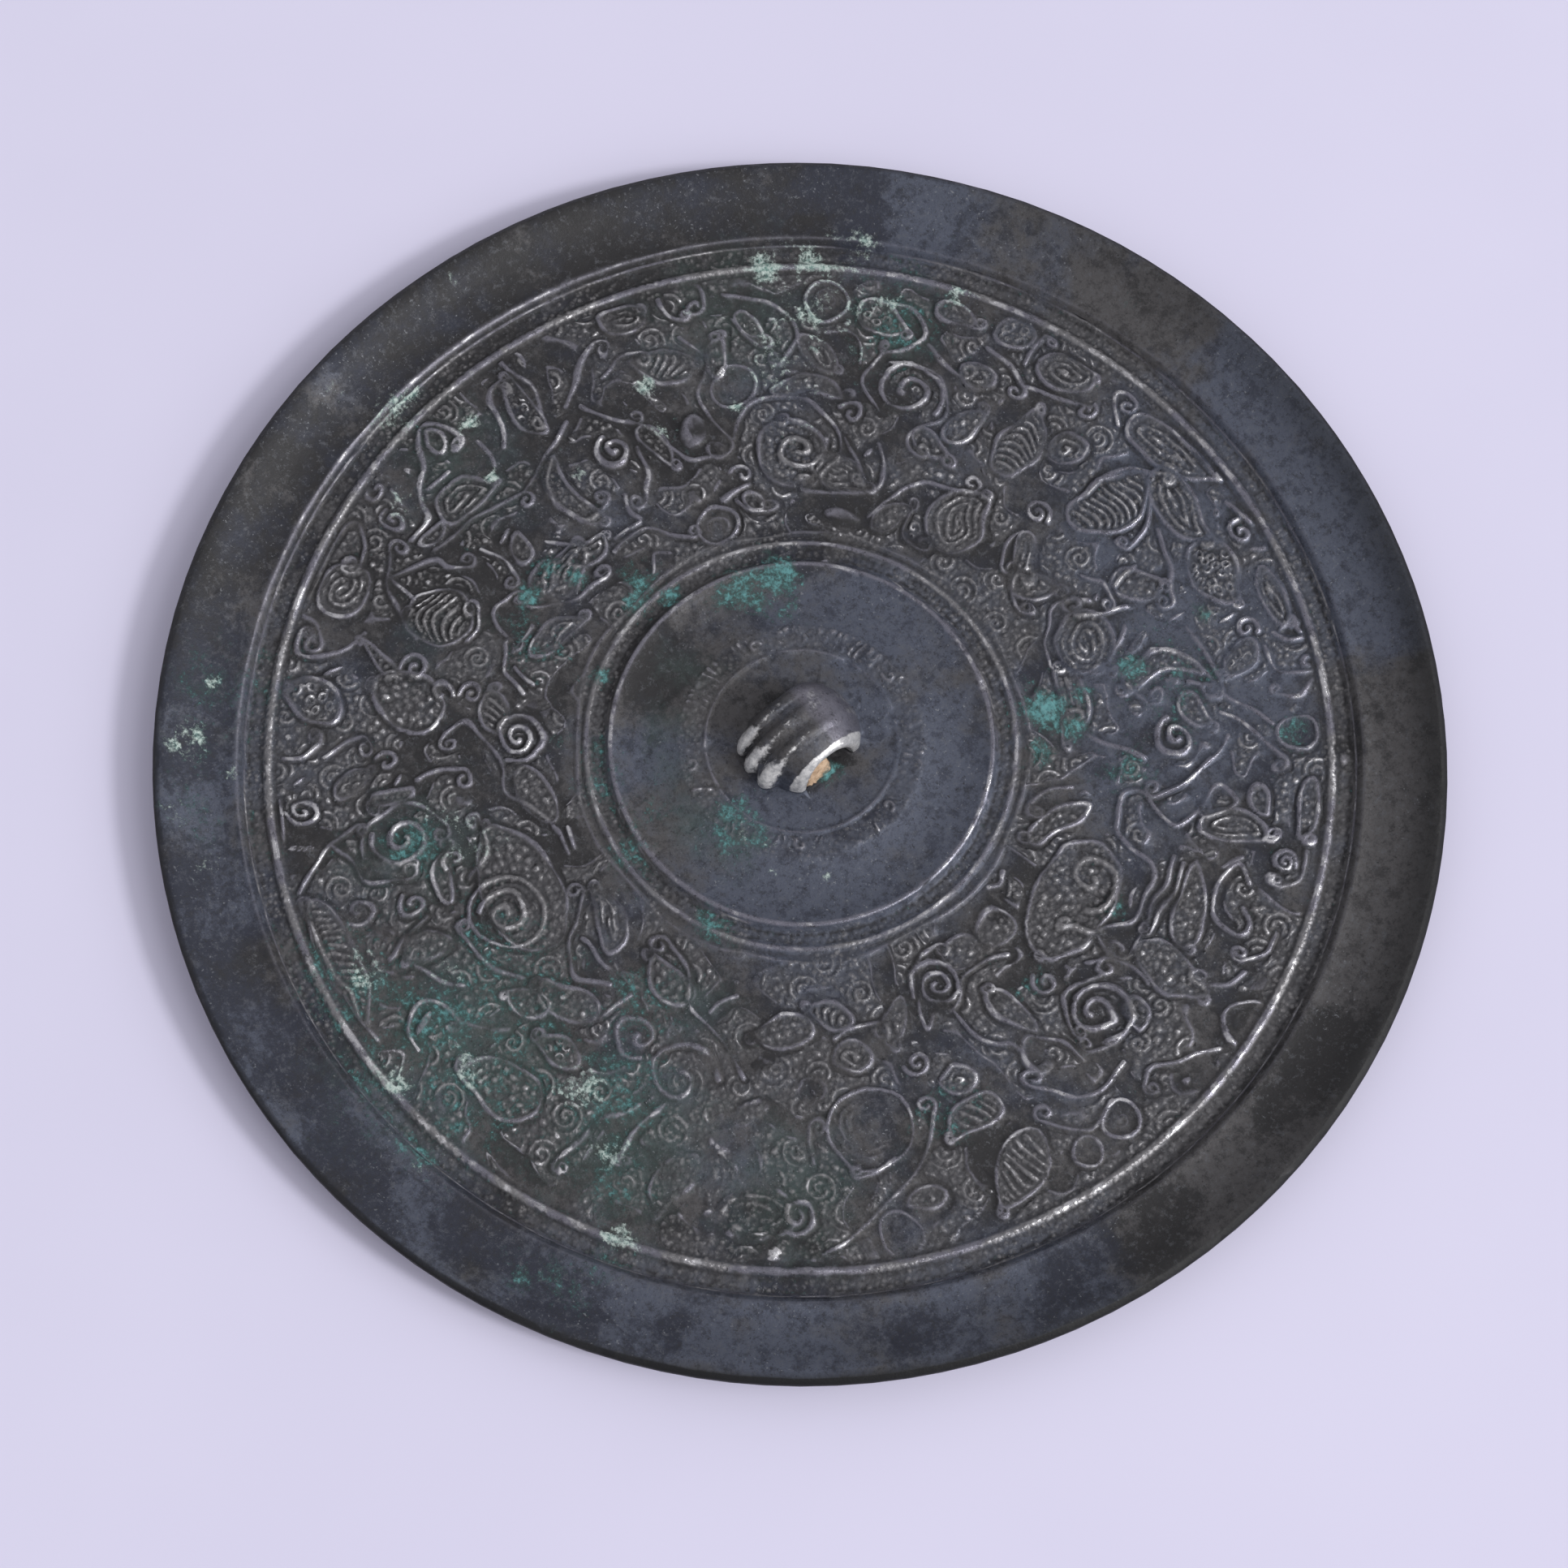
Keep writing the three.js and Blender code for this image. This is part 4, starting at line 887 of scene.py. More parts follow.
SEAT, HALF_LENGTH, LIP_SHARE = 2.15, 5.4, 0.46
SPAN_Y, CROWN_Z, TUNNEL_Y, TUNNEL_Z = 6.6, 6.5, 3.2, 4.4
ARCH_STEPS, AROUND = 84, 112
CORDS_AT = (-3.9, -1.2, 1.5)
sweep = np.linspace(0, np.pi, ARCH_STEPS + 1)[:, None]
around = (np.arange(AROUND) * 2 * np.pi / AROUND)[None, :]
side = np.sign(np.cos(around)) * np.abs(np.cos(around)) ** (2 / 3.0)
through = 0.5 + 0.5 * np.sign(np.sin(around)) * np.abs(np.sin(around)) ** (2 / 3.0)
to_plus = ease(np.cos(sweep), -0.2, 0.9)
to_minus = ease(-np.cos(sweep), -0.1, 0.95)
inner_y, inner_z = arch(TUNNEL_Y, TUNNEL_Z, 2.4, sweep)
outer_y, outer_z = arch(SPAN_Y + 0.9 * to_plus, CROWN_Z, 2.1, sweep)
knob_x = HALF_LENGTH * (1 - 0.10 * np.sin(sweep) ** 2) * side
crown = LIP_SHARE + (1 - LIP_SHARE) * (1 - np.abs(side) ** 2.6)
depth = through * crown
ball = ridge(np.abs(sweep / np.pi - 0.93), 0.12)
width = 0.78 + 0.25 * to_minus ** 2 + 0.32 * ball
cord_ridge = sum(np.sqrt(np.clip(1 - ((knob_x - at) / width) ** 2, 0, 1)) for at in CORDS_AT)
crisp = 0.10 + 0.90 * ease(sweep / np.pi, 0.25, 0.72)
swell = (0.72 + 0.45 * to_minus ** 3 + 0.5 * ball) * cord_ridge * crisp * ease(through, 0.55, 0.95)
lip_round = 0.35 * np.abs(side) ** 5 * ease(through, 0.3, 0.9)
out_y, out_z = np.cos(sweep), np.sin(sweep)
knob_y = inner_y + (outer_y - inner_y) * depth + out_y * (swell + lip_round)
knob_z = SEAT + inner_z + (outer_z - inner_z) * depth + out_z * (swell + lip_round)
knob_z += 0.10 * (drift(knob_x, knob_y, 1.7, 81) - 0.5) * out_z
print("knob spans", round(float(knob_y.max() - knob_y.min()), 1), "mm across its feet")

# %% Skin the knob
SUNK = np.array([0, 0, 0.8])  # how far its feet go down into the plate
rows = [np.stack(sides, 1) for sides in zip(*np.broadcast_arrays(knob_x, knob_y, knob_z))]
low_foot, high_foot = rows[0] - SUNK, rows[-1] - SUNK
rows = [low_foot] + rows + [high_foot]
knob_points = np.concatenate(rows + [low_foot.mean(0)[None], high_foot.mean(0)[None]])
knob_triangles = [stitch(AROUND * k, AROUND, AROUND * (k + 1), AROUND)
                  for k in range(len(rows) - 1)]
j, k = np.arange(AROUND), (np.arange(AROUND) + 1) % AROUND
low, high = AROUND * len(rows), AROUND * len(rows) + 1
knob_triangles.append(np.stack([j, k, low + 0 * j], 1))
end = AROUND * (len(rows) - 1)
knob_triangles.append(np.stack([end + k, end + j, high + 0 * j], 1))
knob = mesh_object("knob", knob_points, np.concatenate(knob_triangles))
print("knob:", len(knob.data.polygons), "triangles, crown at", round(float(knob_z.max()), 2), "mm")

# %% [markdown]
# ## One casting
# Plate and knob were poured together, so they are joined into one skin with a Boolean. The
# knob's faces must all look outward for that. The skin now has large flat triangles next to
# small steep ones, and smooth shading would bend light over the flat ones. The Weighted
# Normal modifier lets the larger faces decide, so plain bronze stays calm.

# %% Join the knob to the plate
shape = bmesh.new()
shape.from_mesh(knob.data)
bmesh.ops.recalc_face_normals(shape, faces=shape.faces)
shape.to_mesh(knob.data)
shape.free()
join = mirror.modifiers.new("join", "BOOLEAN")
join.operation, join.object, join.solver = "UNION", knob, "MANIFOLD"
settle(mirror)
weigh = mirror.modifiers.new("weigh", "WEIGHTED_NORMAL")
weigh.mode, weigh.weight = "FACE_AREA", 50
settle(mirror)
bpy.data.objects.remove(knob)
print("one skin with", len(mirror.data.polygons), "triangles")

# %% [markdown]
# ## Where dirt gathers, shade is painted and hands rub
# The finish depends on the shape: hollows hold dark deposits and are painted darker as shade,
# and crests are rubbed bright.
# We measure both once, as the difference between the height and its own blurred copy, and
# store them on the points. Blender's Pointiness would give something like it, but it is
# lost when the model is exported, and it can't tell a worn crest from a sharp one.

# %% Two ways to read a layer
def soften(layer, rows, columns):
    for axis, half in ((0, rows), (1, columns)):
        layer = sum(np.roll(layer, k, axis) for k in range(-half, half + 1)) / (2 * half + 1)
    return layer


def sample(layer, first_radius, step, radius, angle):
    """Reads a polar layer at any radius and angle."""
    columns = layer.shape[1]
    row = np.clip((radius - first_radius) / step, 0, layer.shape[0] - 1.001)
    column = (angle / (2 * np.pi) % 1) * columns
    i, j = row.astype(int), column.astype(int)
    s, t = row - i, column - j
    j, k = j % columns, (j + 1) % columns
    return ((layer[i, j] * (1 - s) + layer[i + 1, j] * s) * (1 - t)
            + (layer[i, k] * (1 - s) + layer[i + 1, k] * s) * t)


print("a softened point keeps", round(float(soften(np.eye(5), 1, 1)[2, 2]), 2), "of its height")

# %% [markdown]
# ## Where corrosion grew
# Corrosion came in patches, and each one is placed as it lies on the real mirror: PALE for
# thick mint crusts, GREEN for thin salts, DARK for black deposits and for the knob's painted
# shadow on its seat, SLATE where the smooth bluish film is whole, and BROWN where it is gone
# from the rim. The rows are like those of EATEN above: degrees, radius, size and how dense. A
# ring of like patches is a loop.

# %% Patches of colour
PALE = [
    (144.4, 66.5, 3.6, 0.8), (139, 67.4, 3.4, 0.7), (134, 69.9, 3.4, 0.7), (190, 69.3, 3.4, 0.75),
    (187, 69.2, 1.8, 0.8), (121, 65.2, 3.0, 0.6), (144, 52, 13, 0.44), (163, 46, 3, 0.5),
    (198, 60, 5, 0.45), (156, 77.4, 1.6, 0.7), (192.5, 76.5, 2.2, 0.6), (231, 76, 3.6, 0.8),
    (243, 74, 3.4, 0.66), (234, 71.5, 2.4, 0.6), (176, 77.5, 2, 0.5), (-71, 13.8, 1.8, 0.66),
    (-56, 14.2, 1.6, 0.64), (-71, 51, 4, 0.66), (-59, 65.5, 3, 0.7), (-88, 65, 3.5, 0.72),
    (-84, 57, 5, 0.62), (-101, 61, 4.5, 0.62), (-96, 52, 5, 0.5), (-64, 57, 4, 0.6),
    (185, 61, 2, 0.8), (188, 53.7, 1.2, 0.95), (178.5, 46.4, 1.6, 0.8), (163, 53, 2.2, 0.75),
    (150.5, 46.6, 1.3, 0.85), (130, 62, 3, 0.7), (138, 60, 12, 0.5), (225, 73.5, 2.2, 0.6),
    (238, 77, 3, 0.7), (281, 71, 1.5, 0.8), (302, 71.5, 1.6, 0.7), (-115, 44, 8, 0.45),
    (-38, 11, 1.5, 0.7), (-30, 18, 1.2, 0.7), (-52, 17.5, 1.2, 0.7),
]
GREEN = [
    (58.8, 30.6, 3.0, 1.15), (54, 34.2, 2.4, 0.85), (47.5, 30, 2.2, 0.85), (-114, 49, 4, 0.65),
    (200.8, 39.6, 1.8, 0.9), (184, 30, 2.4, 0.8), (211, 26.5, 1.6, 0.8), (168, 21.5, 2.2, 0.8),
    (159, 21.6, 3.2, 1.05), (147, 22.3, 3.2, 1.1), (194, 39.7, 1.9, 0.85), (193, 36, 1.5, 0.8),
    (188, 28.4, 2.4, 0.75), (69.3, 53.9, 1.5, 0.8), (69.3, 48.5, 1.2, 0.8), (63.8, 43, 2.2, 0.8),
    (51.7, 61.7, 2.6, 0.65), (-86, 55, 17, 0.5), (-66, 49, 8, 0.55), (-61, 74, 4, 0.6),
    (-95, 46, 6, 0.5), (-62, 60, 6, 0.55), (-121, 25.5, 5, 0.5), (-65, 26, 3, 0.7),
    (-94, 25.6, 4, 0.55), (-81, 12.8, 3.0, 0.75), (-128.7, 75.2, 4, 0.55), (-123, 75, 7, 0.44),
    (-80.5, 69.8, 2.4, 0.75), (-59, 70, 3, 0.6), (-66, 74, 4, 0.5), (128, 60, 9, 0.45),
    (20.9, 44.7, 1.3, 0.7), (56.4, 70.9, 0.8, 0.9), (105, 74, 2.4, 0.5), (181, 25.4, 2.2, 0.6),
    (-150, 36, 5, 0.45), (2, 41, 3, 0.5), (-4, 5.9, 1.1, 1.0), (60, 36, 2.0, 0.6),
    (45, 40, 4, 0.5), (60, 48, 6, 0.45), (-75, 15, 5, 0.5), (-62, 13.8, 2.5, 0.8),
    (-76, 13, 2.5, 0.7), (-105, 22, 5, 0.45), (150, 16.5, 3, 0.5), (-20, 50, 5, 0.45),
    (-135, 72, 8, 0.45), (-100, 62, 9, 0.5), (-88, 68, 6, 0.5), (-70, 38, 6, 0.5),
]
DARK = [
    (18, 74, 6, 0.66), (11, 71.5, 5, 0.5), (-8, 76, 6, 0.5), (-14, 72, 5, 0.5), (137, 74, 9, 0.6),
    (122, 75, 7, 0.4), (262, 74, 9, 0.4), (8.8, 32, 2.6, 0.9), (-39.5, 66, 5, 1.1),
    (-44, 60, 6, 0.9), (-54, 62, 5, 0.6), (-30, 52, 5, 0.5), (-150, 50, 9, 0.6),
    (186, 60, 30, 0.55), (160, 73, 24, 0.5), (49, 67.9, 2.0, 0.9), (139.5, 25.4, 6, 0.6),
    (150, 25.4, 6, 0.7), (-35, 55, 7, 0.5), (170, 45, 8, 0.5),
]
SLATE = [
    (60, 52, 22, 0.8), (84, 56, 14, 0.8), (30, 19, 9, 1.0), (-40, 19, 10, 0.9), (-120, 19, 7, 0.6),
    (110, 19, 9, 0.7), (75, 8.5, 4, 0.9),
]
SLATE += [(turn, 75, 8, 1.1) for turn in (64, 76, 88, 130)]
SLATE += [(turn, 76, 8, 0.75) for turn in range(-136, -6, 12)]
BROWN = [(turn, 75, 7, 0.7) for turn in (-2, 10, 22, 34, 46, 53)]
# (192, 8.5) is the knob's shadow on its seat, painted dark.
DARK += [(192, 8.5, 4, 0.45), (200, 50, 12, 0.6), (-150, 20, 8, 0.6), (160, 20, 6, 0.5)]
DARK += [(turn, 75, 9, 1.1) for turn in range(138, 216, 12)]
DARK += [(turn, 73 + turn % 7, 8, 0.72) for turn in range(222, 302, 11)]
DARK += [(turn, 71.5 + turn % 5, 6, 0.35 + 0.05 * (turn % 7)) for turn in range(-136, 4, 12)]
print("patches of salts:", len(PALE), "thick,", len(GREEN), "thin")

# %% [markdown]
# ## Marks on the points
# A mark is a number from 0 to 1 on every point of the skin, and the finish reads it by name.
# In Blender's own terms it is a FLOAT attribute in the POINT domain, like a vertex group or a
# painted mask. We first work out where each point lies, then what its neighbourhood is.

# %% Where each point lies
place = np.empty(3 * len(mirror.data.vertices), np.float32)
mirror.data.vertices.foreach_get("co", place)
x, y, z = (place.reshape(-1, 3) / MM).T
radius, angle = np.hypot(x, y), np.arctan2(y, x)
on_back = ease(z, 0.9, 1.1)
in_field = (radius > field_radius[0]) & (radius < field_radius[-1])
PLATE_TOP = 3  # above this, a point near the middle belongs to the knob
on_collar = band(radius, 12.2, 12.8, 15.2, 15.8) * (z < PLATE_TOP)
in_grooves = band(radius, 24.6, 25.0, 26.0, 26.4) + band(radius, 67.0, 67.4, 68.6, 69.0)
between_rings = band(radius, 29, 30, 64.5, 65.5)
on_knob = (radius < 9.5) * ease(z, SEAT + 0.35, SEAT + 0.9)
near_lip = on_knob * ease(x, 3.9, 4.5)
at_foot = on_knob * ease(-y, 3.4, 5.2) * (1 - ease(z, 6.2, 8.4))
cord_tops = sum(np.exp(-((x - at) / 0.85) ** 2) for at in CORDS_AT)
streaks = sum(np.exp(-((x - at + 0.12 * y) / 0.34) ** 2) for at in CORDS_AT)
streaks = streaks * on_knob * ease(-y, -2.5, 2.5)
melting = on_knob * ease(y, -0.5, 3.5)
in_tunnel = (np.abs(x) < 5.6) * (np.hypot(y / 3.3, (z - SEAT) / 4.5) < 1.0) * (radius < 7)
print("points on the knob:", int((on_knob > 0.5).sum()), "in its tunnel:", int(in_tunnel.sum()))

# %% How far each point stands out
FULL_STAND = 0.20  # mm over its surroundings at which a crest counts in full
LIPS = ((23.9, 0.9), (26.8, 0.5), (66.3, 0.5), (70.1, 0.4))


def towards(degrees):
    """1 for points on that side of the mirror, easing to 0 a quarter turn away."""
    return np.clip(np.cos(angle - math.radians(degrees)), 0, 1)


def from_field(layer):
    value = sample(layer, field_radius[0], FIELD_STEP, radius, angle)
    return np.where(in_field, value, 0)


raised = from_field(field_height - soften(field_height, 4, 7)) * on_back
relative = middle_height - soften(middle_height, 3, 5)
middle_raised = sample(relative, middle_radius[0], MIDDLE_STEP, radius, angle)
raised = np.where((radius < 24) & (z < PLATE_TOP), middle_raised, raised)
in_ground = from_field(np.maximum(ground, inside_leaf))
lips = sum(share * ridge(np.abs(radius - at), 0.5) for at, share in LIPS)
# This arc on one side of the rim's inner lip is a painted highlight.
lips += 0.5 * ridge(np.abs(radius - 69.9), 0.7) * towards(188) ** 3
print("points stand out by", raised.min().round(2), "to", raised.max().round(2), "mm")

# %% Store the marks
slate = patches(SLATE, x, y) - patches(BROWN, x, y)
bare_body = in_field * (1 - in_ground) * between_rings * (1 - np.clip(slate, 0, 1)) * on_back
rubbed = near_lip + at_foot * cord_tops + 0.5 * streaks + 0.1 * melting
tunnel_salts = in_tunnel * (x > 1) * (y > 0) * ease(-y, -2.3, -0.9)
# Painted shade: a dark line along the lip, wider on one side, and a darker outer rim on the side
# where it rises away from the lamps.
lip_shade_line = ease(radius + 0.4 * np.clip(np.cos(angle + 0.2), 0, 1), 79.1, 79.7)
edge_shade = ease(radius, 74.5, 79.2) * np.clip(np.cos(angle - 0.85), 0, 1) ** 2
marks = {
    # hollow carries dark dirt and painted shade in the recesses.
    "hollow_dirt_and_shade": np.clip(-raised / FULL_STAND, 0, 1),
    # crest also carries painted light: an arc of the rim's inner lip on one side and the knob's
    # melting side are painted paler.
    "crest_and_sheen": np.clip(raised / FULL_STAND + lips + 0.9 * melting, 0, 1),
    "coarse": np.clip(in_ground + 0.45 * on_collar + 0.55 * in_grooves, 0, 1) * on_back,
    "worn": np.clip(rubbed, 0, 1) * (1 - in_tunnel),
    "tan": in_tunnel * ease(z, SEAT + 0.25, SEAT + 0.6) * (x > 1) * (y < 0.3),
    "pale": patches(PALE, x, y) * on_back,
    "green": np.maximum(patches(GREEN, x, y) * on_back, 0.62 * tunnel_salts),
    # The floor inside the knob's tunnel is painted dark, as shade under the arch.
    "dark": np.maximum.reduce([patches(DARK, x, y), in_tunnel * (z < SEAT + 0.7),
                               0.28 * on_collar * on_back, 0.5 * bare_body]),
    "slate": slate * on_back,
    "rough": patches(ROUGH, x, y) * on_back,
    "lip": np.maximum(lip_shade_line, 0.8 * edge_shade),
}
for name, values in marks.items():
    layer = mirror.data.attributes.new(name, "FLOAT", "POINT")
    layer.data.foreach_set("value", values.astype(np.float32))
    print(name, "covers", round(float((values > 0.3).mean()), 3))

# %% [markdown]
# ## The bronze
# High-tin bronze of this age is dark grey to brown-black. Where it stayed smooth it has a
# bluish, almost lilac film. Deposits and painted shade darken the hollows, the lines on top
# are rubbed paler and carry painted glints, and the parts that hands touched most, the knob's
# lip and the feet of its cords, shine like silver. Copper salts sit on it in crusts: mint where
# they are thick and teal where they are thin. It is one metal, so one material does it all.
# The marks that we just stored choose between its looks, and fine noise breaks up every border.
#
# Wiring that many nodes by hand hides the sums they do. A small class around a socket lets
# us write the sums out instead: 1 - mask adds its Math node, and mix lays a colour over one.

# %% A socket that works like a number
class Wire:
    """A shader socket, with the sums that the finishes need."""

    def __init__(self, tree, socket=None):
        self.tree, self.socket = tree, socket

    def node(self, kind, settings=None, inputs=None, output=0):
        """Adds a node: settings first, then the values or links of its sockets."""
        node = self.tree.nodes.new(kind)
        for name, value in (settings or {}).items():
            setattr(node, name, value)
        for name, value in (inputs or {}).items():
            if isinstance(value, Wire):
                self.tree.links.new(node.inputs[name], value.socket)
            else:
                node.inputs[name].default_value = value
        return Wire(self.tree, node.outputs[output] if node.outputs else None)

    def sum(self, operation, first, second):
        return self.node("ShaderNodeMath", {"operation": operation}, {0: first, 1: second})

    def __add__(self, other):
        return self.sum("ADD", self, other)

    def __radd__(self, other):
        return self.sum("ADD", other, self)

    def __sub__(self, other):
        return self.sum("SUBTRACT", self, other)

    def __rsub__(self, other):
        return self.sum("SUBTRACT", other, self)

    def __mul__(self, other):
        return self.sum("MULTIPLY", self, other)

    def __rmul__(self, other):
        return self.sum("MULTIPLY", other, self)

    def between(self, low, high):
        """0 below low and 1 above high."""
        return self.node("ShaderNodeMapRange", {"interpolation_type": "SMOOTHSTEP"},
                         {"Value": self, "From Min": low, "From Max": high})

    def mix(self, first, second):
        """The colour first where self is 0, and second where it is 1."""
        return self.node("ShaderNodeMix", {"data_type": "RGBA"},
                         {"Factor": self, 6: first, 7: second}, output=2)


print("a Wire knows", sum(callable(made) for made in vars(Wire).values()), "methods")

# %% A new material and its marks
def new_material(name):
    material = bpy.data.materials.new(name)
    material.use_nodes = True
    material.node_tree.nodes.clear()
    return material, Wire(material.node_tree)


bronze, wire = new_material("old_bronze")
spot = wire.node("ShaderNodeTexCoord", output="Object")


def mark(name):
    return wire.node("ShaderNodeAttribute", {"attribute_name": name}, output="Fac")


PER_METRE = 1000  # a texture's scale counts features per metre


def cloud(size_mm, detail=4, rough=0.6):
    """Noise whose features are about size_mm across, in the material being made."""
    return wire.node("ShaderNodeTexNoise", None, {
        "Vector": spot, "Scale": PER_METRE / size_mm, "Detail": detail, "Roughness": rough},
        output="Fac")


hollows_dirt_and_shade, crests_and_sheen, coarse, rough = (mark(name) for name in ("hollow_dirt_and_shade", "crest_and_sheen", "coarse", "rough"))
fine = cloud(0.9, 6, 0.72)
specks = cloud(0.42, 3, 0.5)
scuffs = cloud(1.1, 8, 0.85)
mottles = cloud(2.4, 7, 0.78)
blotches = cloud(5, 8, 0.7)
islands = cloud(8, 8, 0.72)
broad = cloud(16, 6, 0.62)
GRAIN_SIZE = 0.7
grains = wire.node("ShaderNodeTexVoronoi", None,
                   {"Vector": spot, "Scale": PER_METRE / GRAIN_SIZE}, output="Distance")
print("noises from 0.42 to 16 mm, and grains of", GRAIN_SIZE, "mm")

# %% [markdown]
# ## Brown metal, slate film, black deposits and painted shade
# The colours are linear, so they look lower here than they will on a screen. The plain metal
# is brown-grey, and slate blue where the film is whole. A mark alone would give each patch a
# round, soft border, so noise of several sizes is added to it first, and then a narrow step
# cuts the sum. That gives ragged islands, as deposits have. The same black also paints the
# knob's shadow on its seat and the shade in its tunnel. Crust softens the ground, and dark
# dirt and painted shade fill the hollows last.

# %% Ground colours
to_slate = (0.75 * mark("slate") + 1.5 * (broad - 0.5) + 1.1 * (blotches - 0.5)
            + 0.2).between(0.1, 0.6)
to_dark = (0.75 * mark("dark") + 1.9 * (islands - 0.5) - 1.6 * (broad - 0.5)
           + 0.9 * (blotches - 0.5) + 0.4 * (fine - 0.5)).between(0.2, 0.42)
film = (rough + 1.6 * (blotches - 0.5) + 0.8 * (fine - 0.5)).between(0.3, 1.1)
# This black serves deposits and also the painted shadow beside the knob and in its tunnel.
deposit_and_shade = to_slate.mix((0.020, 0.019, 0.020, 1), (0.023, 0.025, 0.038, 1))
colour = to_slate.mix((0.090, 0.086, 0.088, 1), (0.092, 0.102, 0.136, 1))
colour = (0.5 * mottles.between(0.5, 0.6)).mix(colour, deposit_and_shade)
colour = (0.5 * coarse).mix(colour, (0.074, 0.075, 0.084, 1))
colour = (0.88 * to_dark).mix(colour, deposit_and_shade)
# The hollows get dark dirt and painted shade.
colour = (0.8 * hollows_dirt_and_shade.between(0.1, 1)).mix(colour, (0.024, 0.023, 0.025, 1))
colour = (0.6 * film).mix(colour, (0.060, 0.088, 0.080, 1))
print("nodes so far:", len(bronze.node_tree.nodes))

# %% [markdown]
# ## Rubbed crests, painted glints and small wear
# What stands highest is rubbed first. The crests are paler all along, and in broken stretches
# they are polished and carry a painted near-white glint. On the granulated ground each grain
# has a pale top. The smooth parts carry fine scuffs, both dark and pale, and specks. The lip of
# the rim is painted darkest, as shade. Each of these is a cover, which says where, and a paint,
# so a loop can lay them in turn.

# %% Crests, scuffs and specks
lit = crests_and_sheen.between(0.15, 0.95) * (0.45 + 1.1 * (fine - 0.3))
# polish marks polished stretches of crest; its near-white colour is a painted glint.
polish_and_glint = cloud(3.2, 3).between(0.52, 0.64) * crests_and_sheen.between(0.45, 0.9)
tops = (1 - grains.between(0.1, 0.6)) * coarse
smooth = 1 - coarse
colour = lit.mix(colour, coarse.mix((0.27, 0.26, 0.31, 1), (0.30, 0.292, 0.30, 1)))
colour = (0.85 * polish_and_glint).mix(colour, (0.66, 0.65, 0.67, 1))
grain_tops = 0.75 * tops * fine.between(0.38, 0.66) * blotches.between(0.32, 0.52)
for cover, paint in (
        (grain_tops, (0.26, 0.25, 0.255)),
        (0.6 * (1 - scuffs.between(0.38, 0.5)) * smooth, (0.032, 0.032, 0.035)),
        (0.5 * scuffs.between(0.52, 0.64) * smooth, (0.125, 0.13, 0.145)),
        (0.6 * specks.between(0.63, 0.73) * broad.between(0.42, 0.6), (0.26, 0.27, 0.29)),
        (0.7 * (1 - specks.between(0.27, 0.35)), (0.026, 0.024, 0.025)),
        # the lip's near-black is painted shade
        (mark("lip"), (0.014, 0.014, 0.015))):
    colour = cover.mix(colour, (*paint, 1))
print("nodes so far:", len(bronze.node_tree.nodes))

# %% [markdown]
# ## Silver, earth and salts
# The knob's lip and the feet of its cords are worn to bare metal. The earth in the tunnel is
# tan and crumbly. The salts come last, because they lie on everything: teal and see-through
# where they are thin, mint and solid where they are thick, and always a little thicker in
# the hollows. Noise of two sizes makes them look like dust that has caked.

# %% Silver, earth and salts
worn = (mark("worn") + 1.4 * (fine - 0.5) + 0.8 * (blotches - 0.5)).between(0.3, 0.8)
silver = (0.5 * fine + 0.5 * scuffs).between(0.4, 0.6)
colour = worn.mix(colour, silver.mix((0.44, 0.44, 0.455, 1), (0.82, 0.805, 0.80, 1)))
tanned = (mark("tan") + 0.4 * (fine - 0.5)).between(0.3, 0.6)
colour = tanned.mix(colour, silver.mix((0.38, 0.25, 0.16, 1), (0.66, 0.48, 0.33, 1)))
dust = 1.5 * (cloud(2.8, 5, 0.65) - 0.5) + 1.3 * (cloud(0.6, 5, 0.75) - 0.5)
salts = mark("green") + dust + 0.25 * hollows_dirt_and_shade
greened = salts.between(0.34, 0.85)
thickness = (cloud(0.7, 4, 0.7) + 0.5 * (salts - 0.7)).between(0.4, 0.85)
tint = thickness.mix((0.040, 0.078, 0.072, 1), (0.13, 0.33, 0.335, 1))
colour = (0.85 * greened).mix(colour, tint)
paled = (mark("pale") + 0.9 * dust + 0.25 * crests_and_sheen).between(0.55, 0.95)
mint = cloud(0.6, 4, 0.7).between(0.38, 0.62)
colour = paled.mix(colour, mint.mix((0.13, 0.23, 0.205, 1), (0.50, 0.58, 0.54, 1)))
crust = (greened + paled + tanned + 0.5 * film).between(0, 1)
print("nodes so far:", len(bronze.node_tree.nodes))

# %% [markdown]
# ## How it shines
# Patina is half metal and half mineral, so Metallic sits between 0 and 1: higher on rubbed
# crests, lower under deposits, and 0 under salts and earth. Roughness goes the other way.
# The fine pitting is too small to be worth triangles, so it is left to a Bump node, with a
# distance of a fifth of a millimetre.

# %% Shine and bump
metallic = (0.45 + 0.35 * lit + 0.2 * polish_and_glint - 0.3 * to_dark - 0.15 * worn) * (1 - crust)
roughness = (0.50 + 0.2 * (fine - 0.5) + 0.08 * coarse + 0.12 * hollows_dirt_and_shade - 0.30 * crests_and_sheen
             - 0.06 * polish_and_glint - 0.26 * worn + 0.35 * crust)
pitting = 0.5 * fine + 0.35 * cloud(0.35, 3) + 0.5 * scuffs
grit = coarse * (1.1 * (1 - grains.between(0, 0.8)) + 0.7 * cloud(0.5, 4, 0.6))
grit = grit + 0.8 * rough * fine
bump = wire.node("ShaderNodeBump", None, {
    "Strength": 0.5, "Distance": 0.2 * MM, "Height": pitting + 0.9 * grit + 0.8 * crust * fine})
shader = wire.node("ShaderNodeBsdfPrincipled", None, {
    "Base Color": colour, "Metallic": metallic, "Roughness": roughness, "Normal": bump,
    "Specular IOR Level": 0.3})
wire.node("ShaderNodeOutputMaterial", None, {"Surface": shader})
print("bronze has", len(bronze.node_tree.nodes), "nodes")

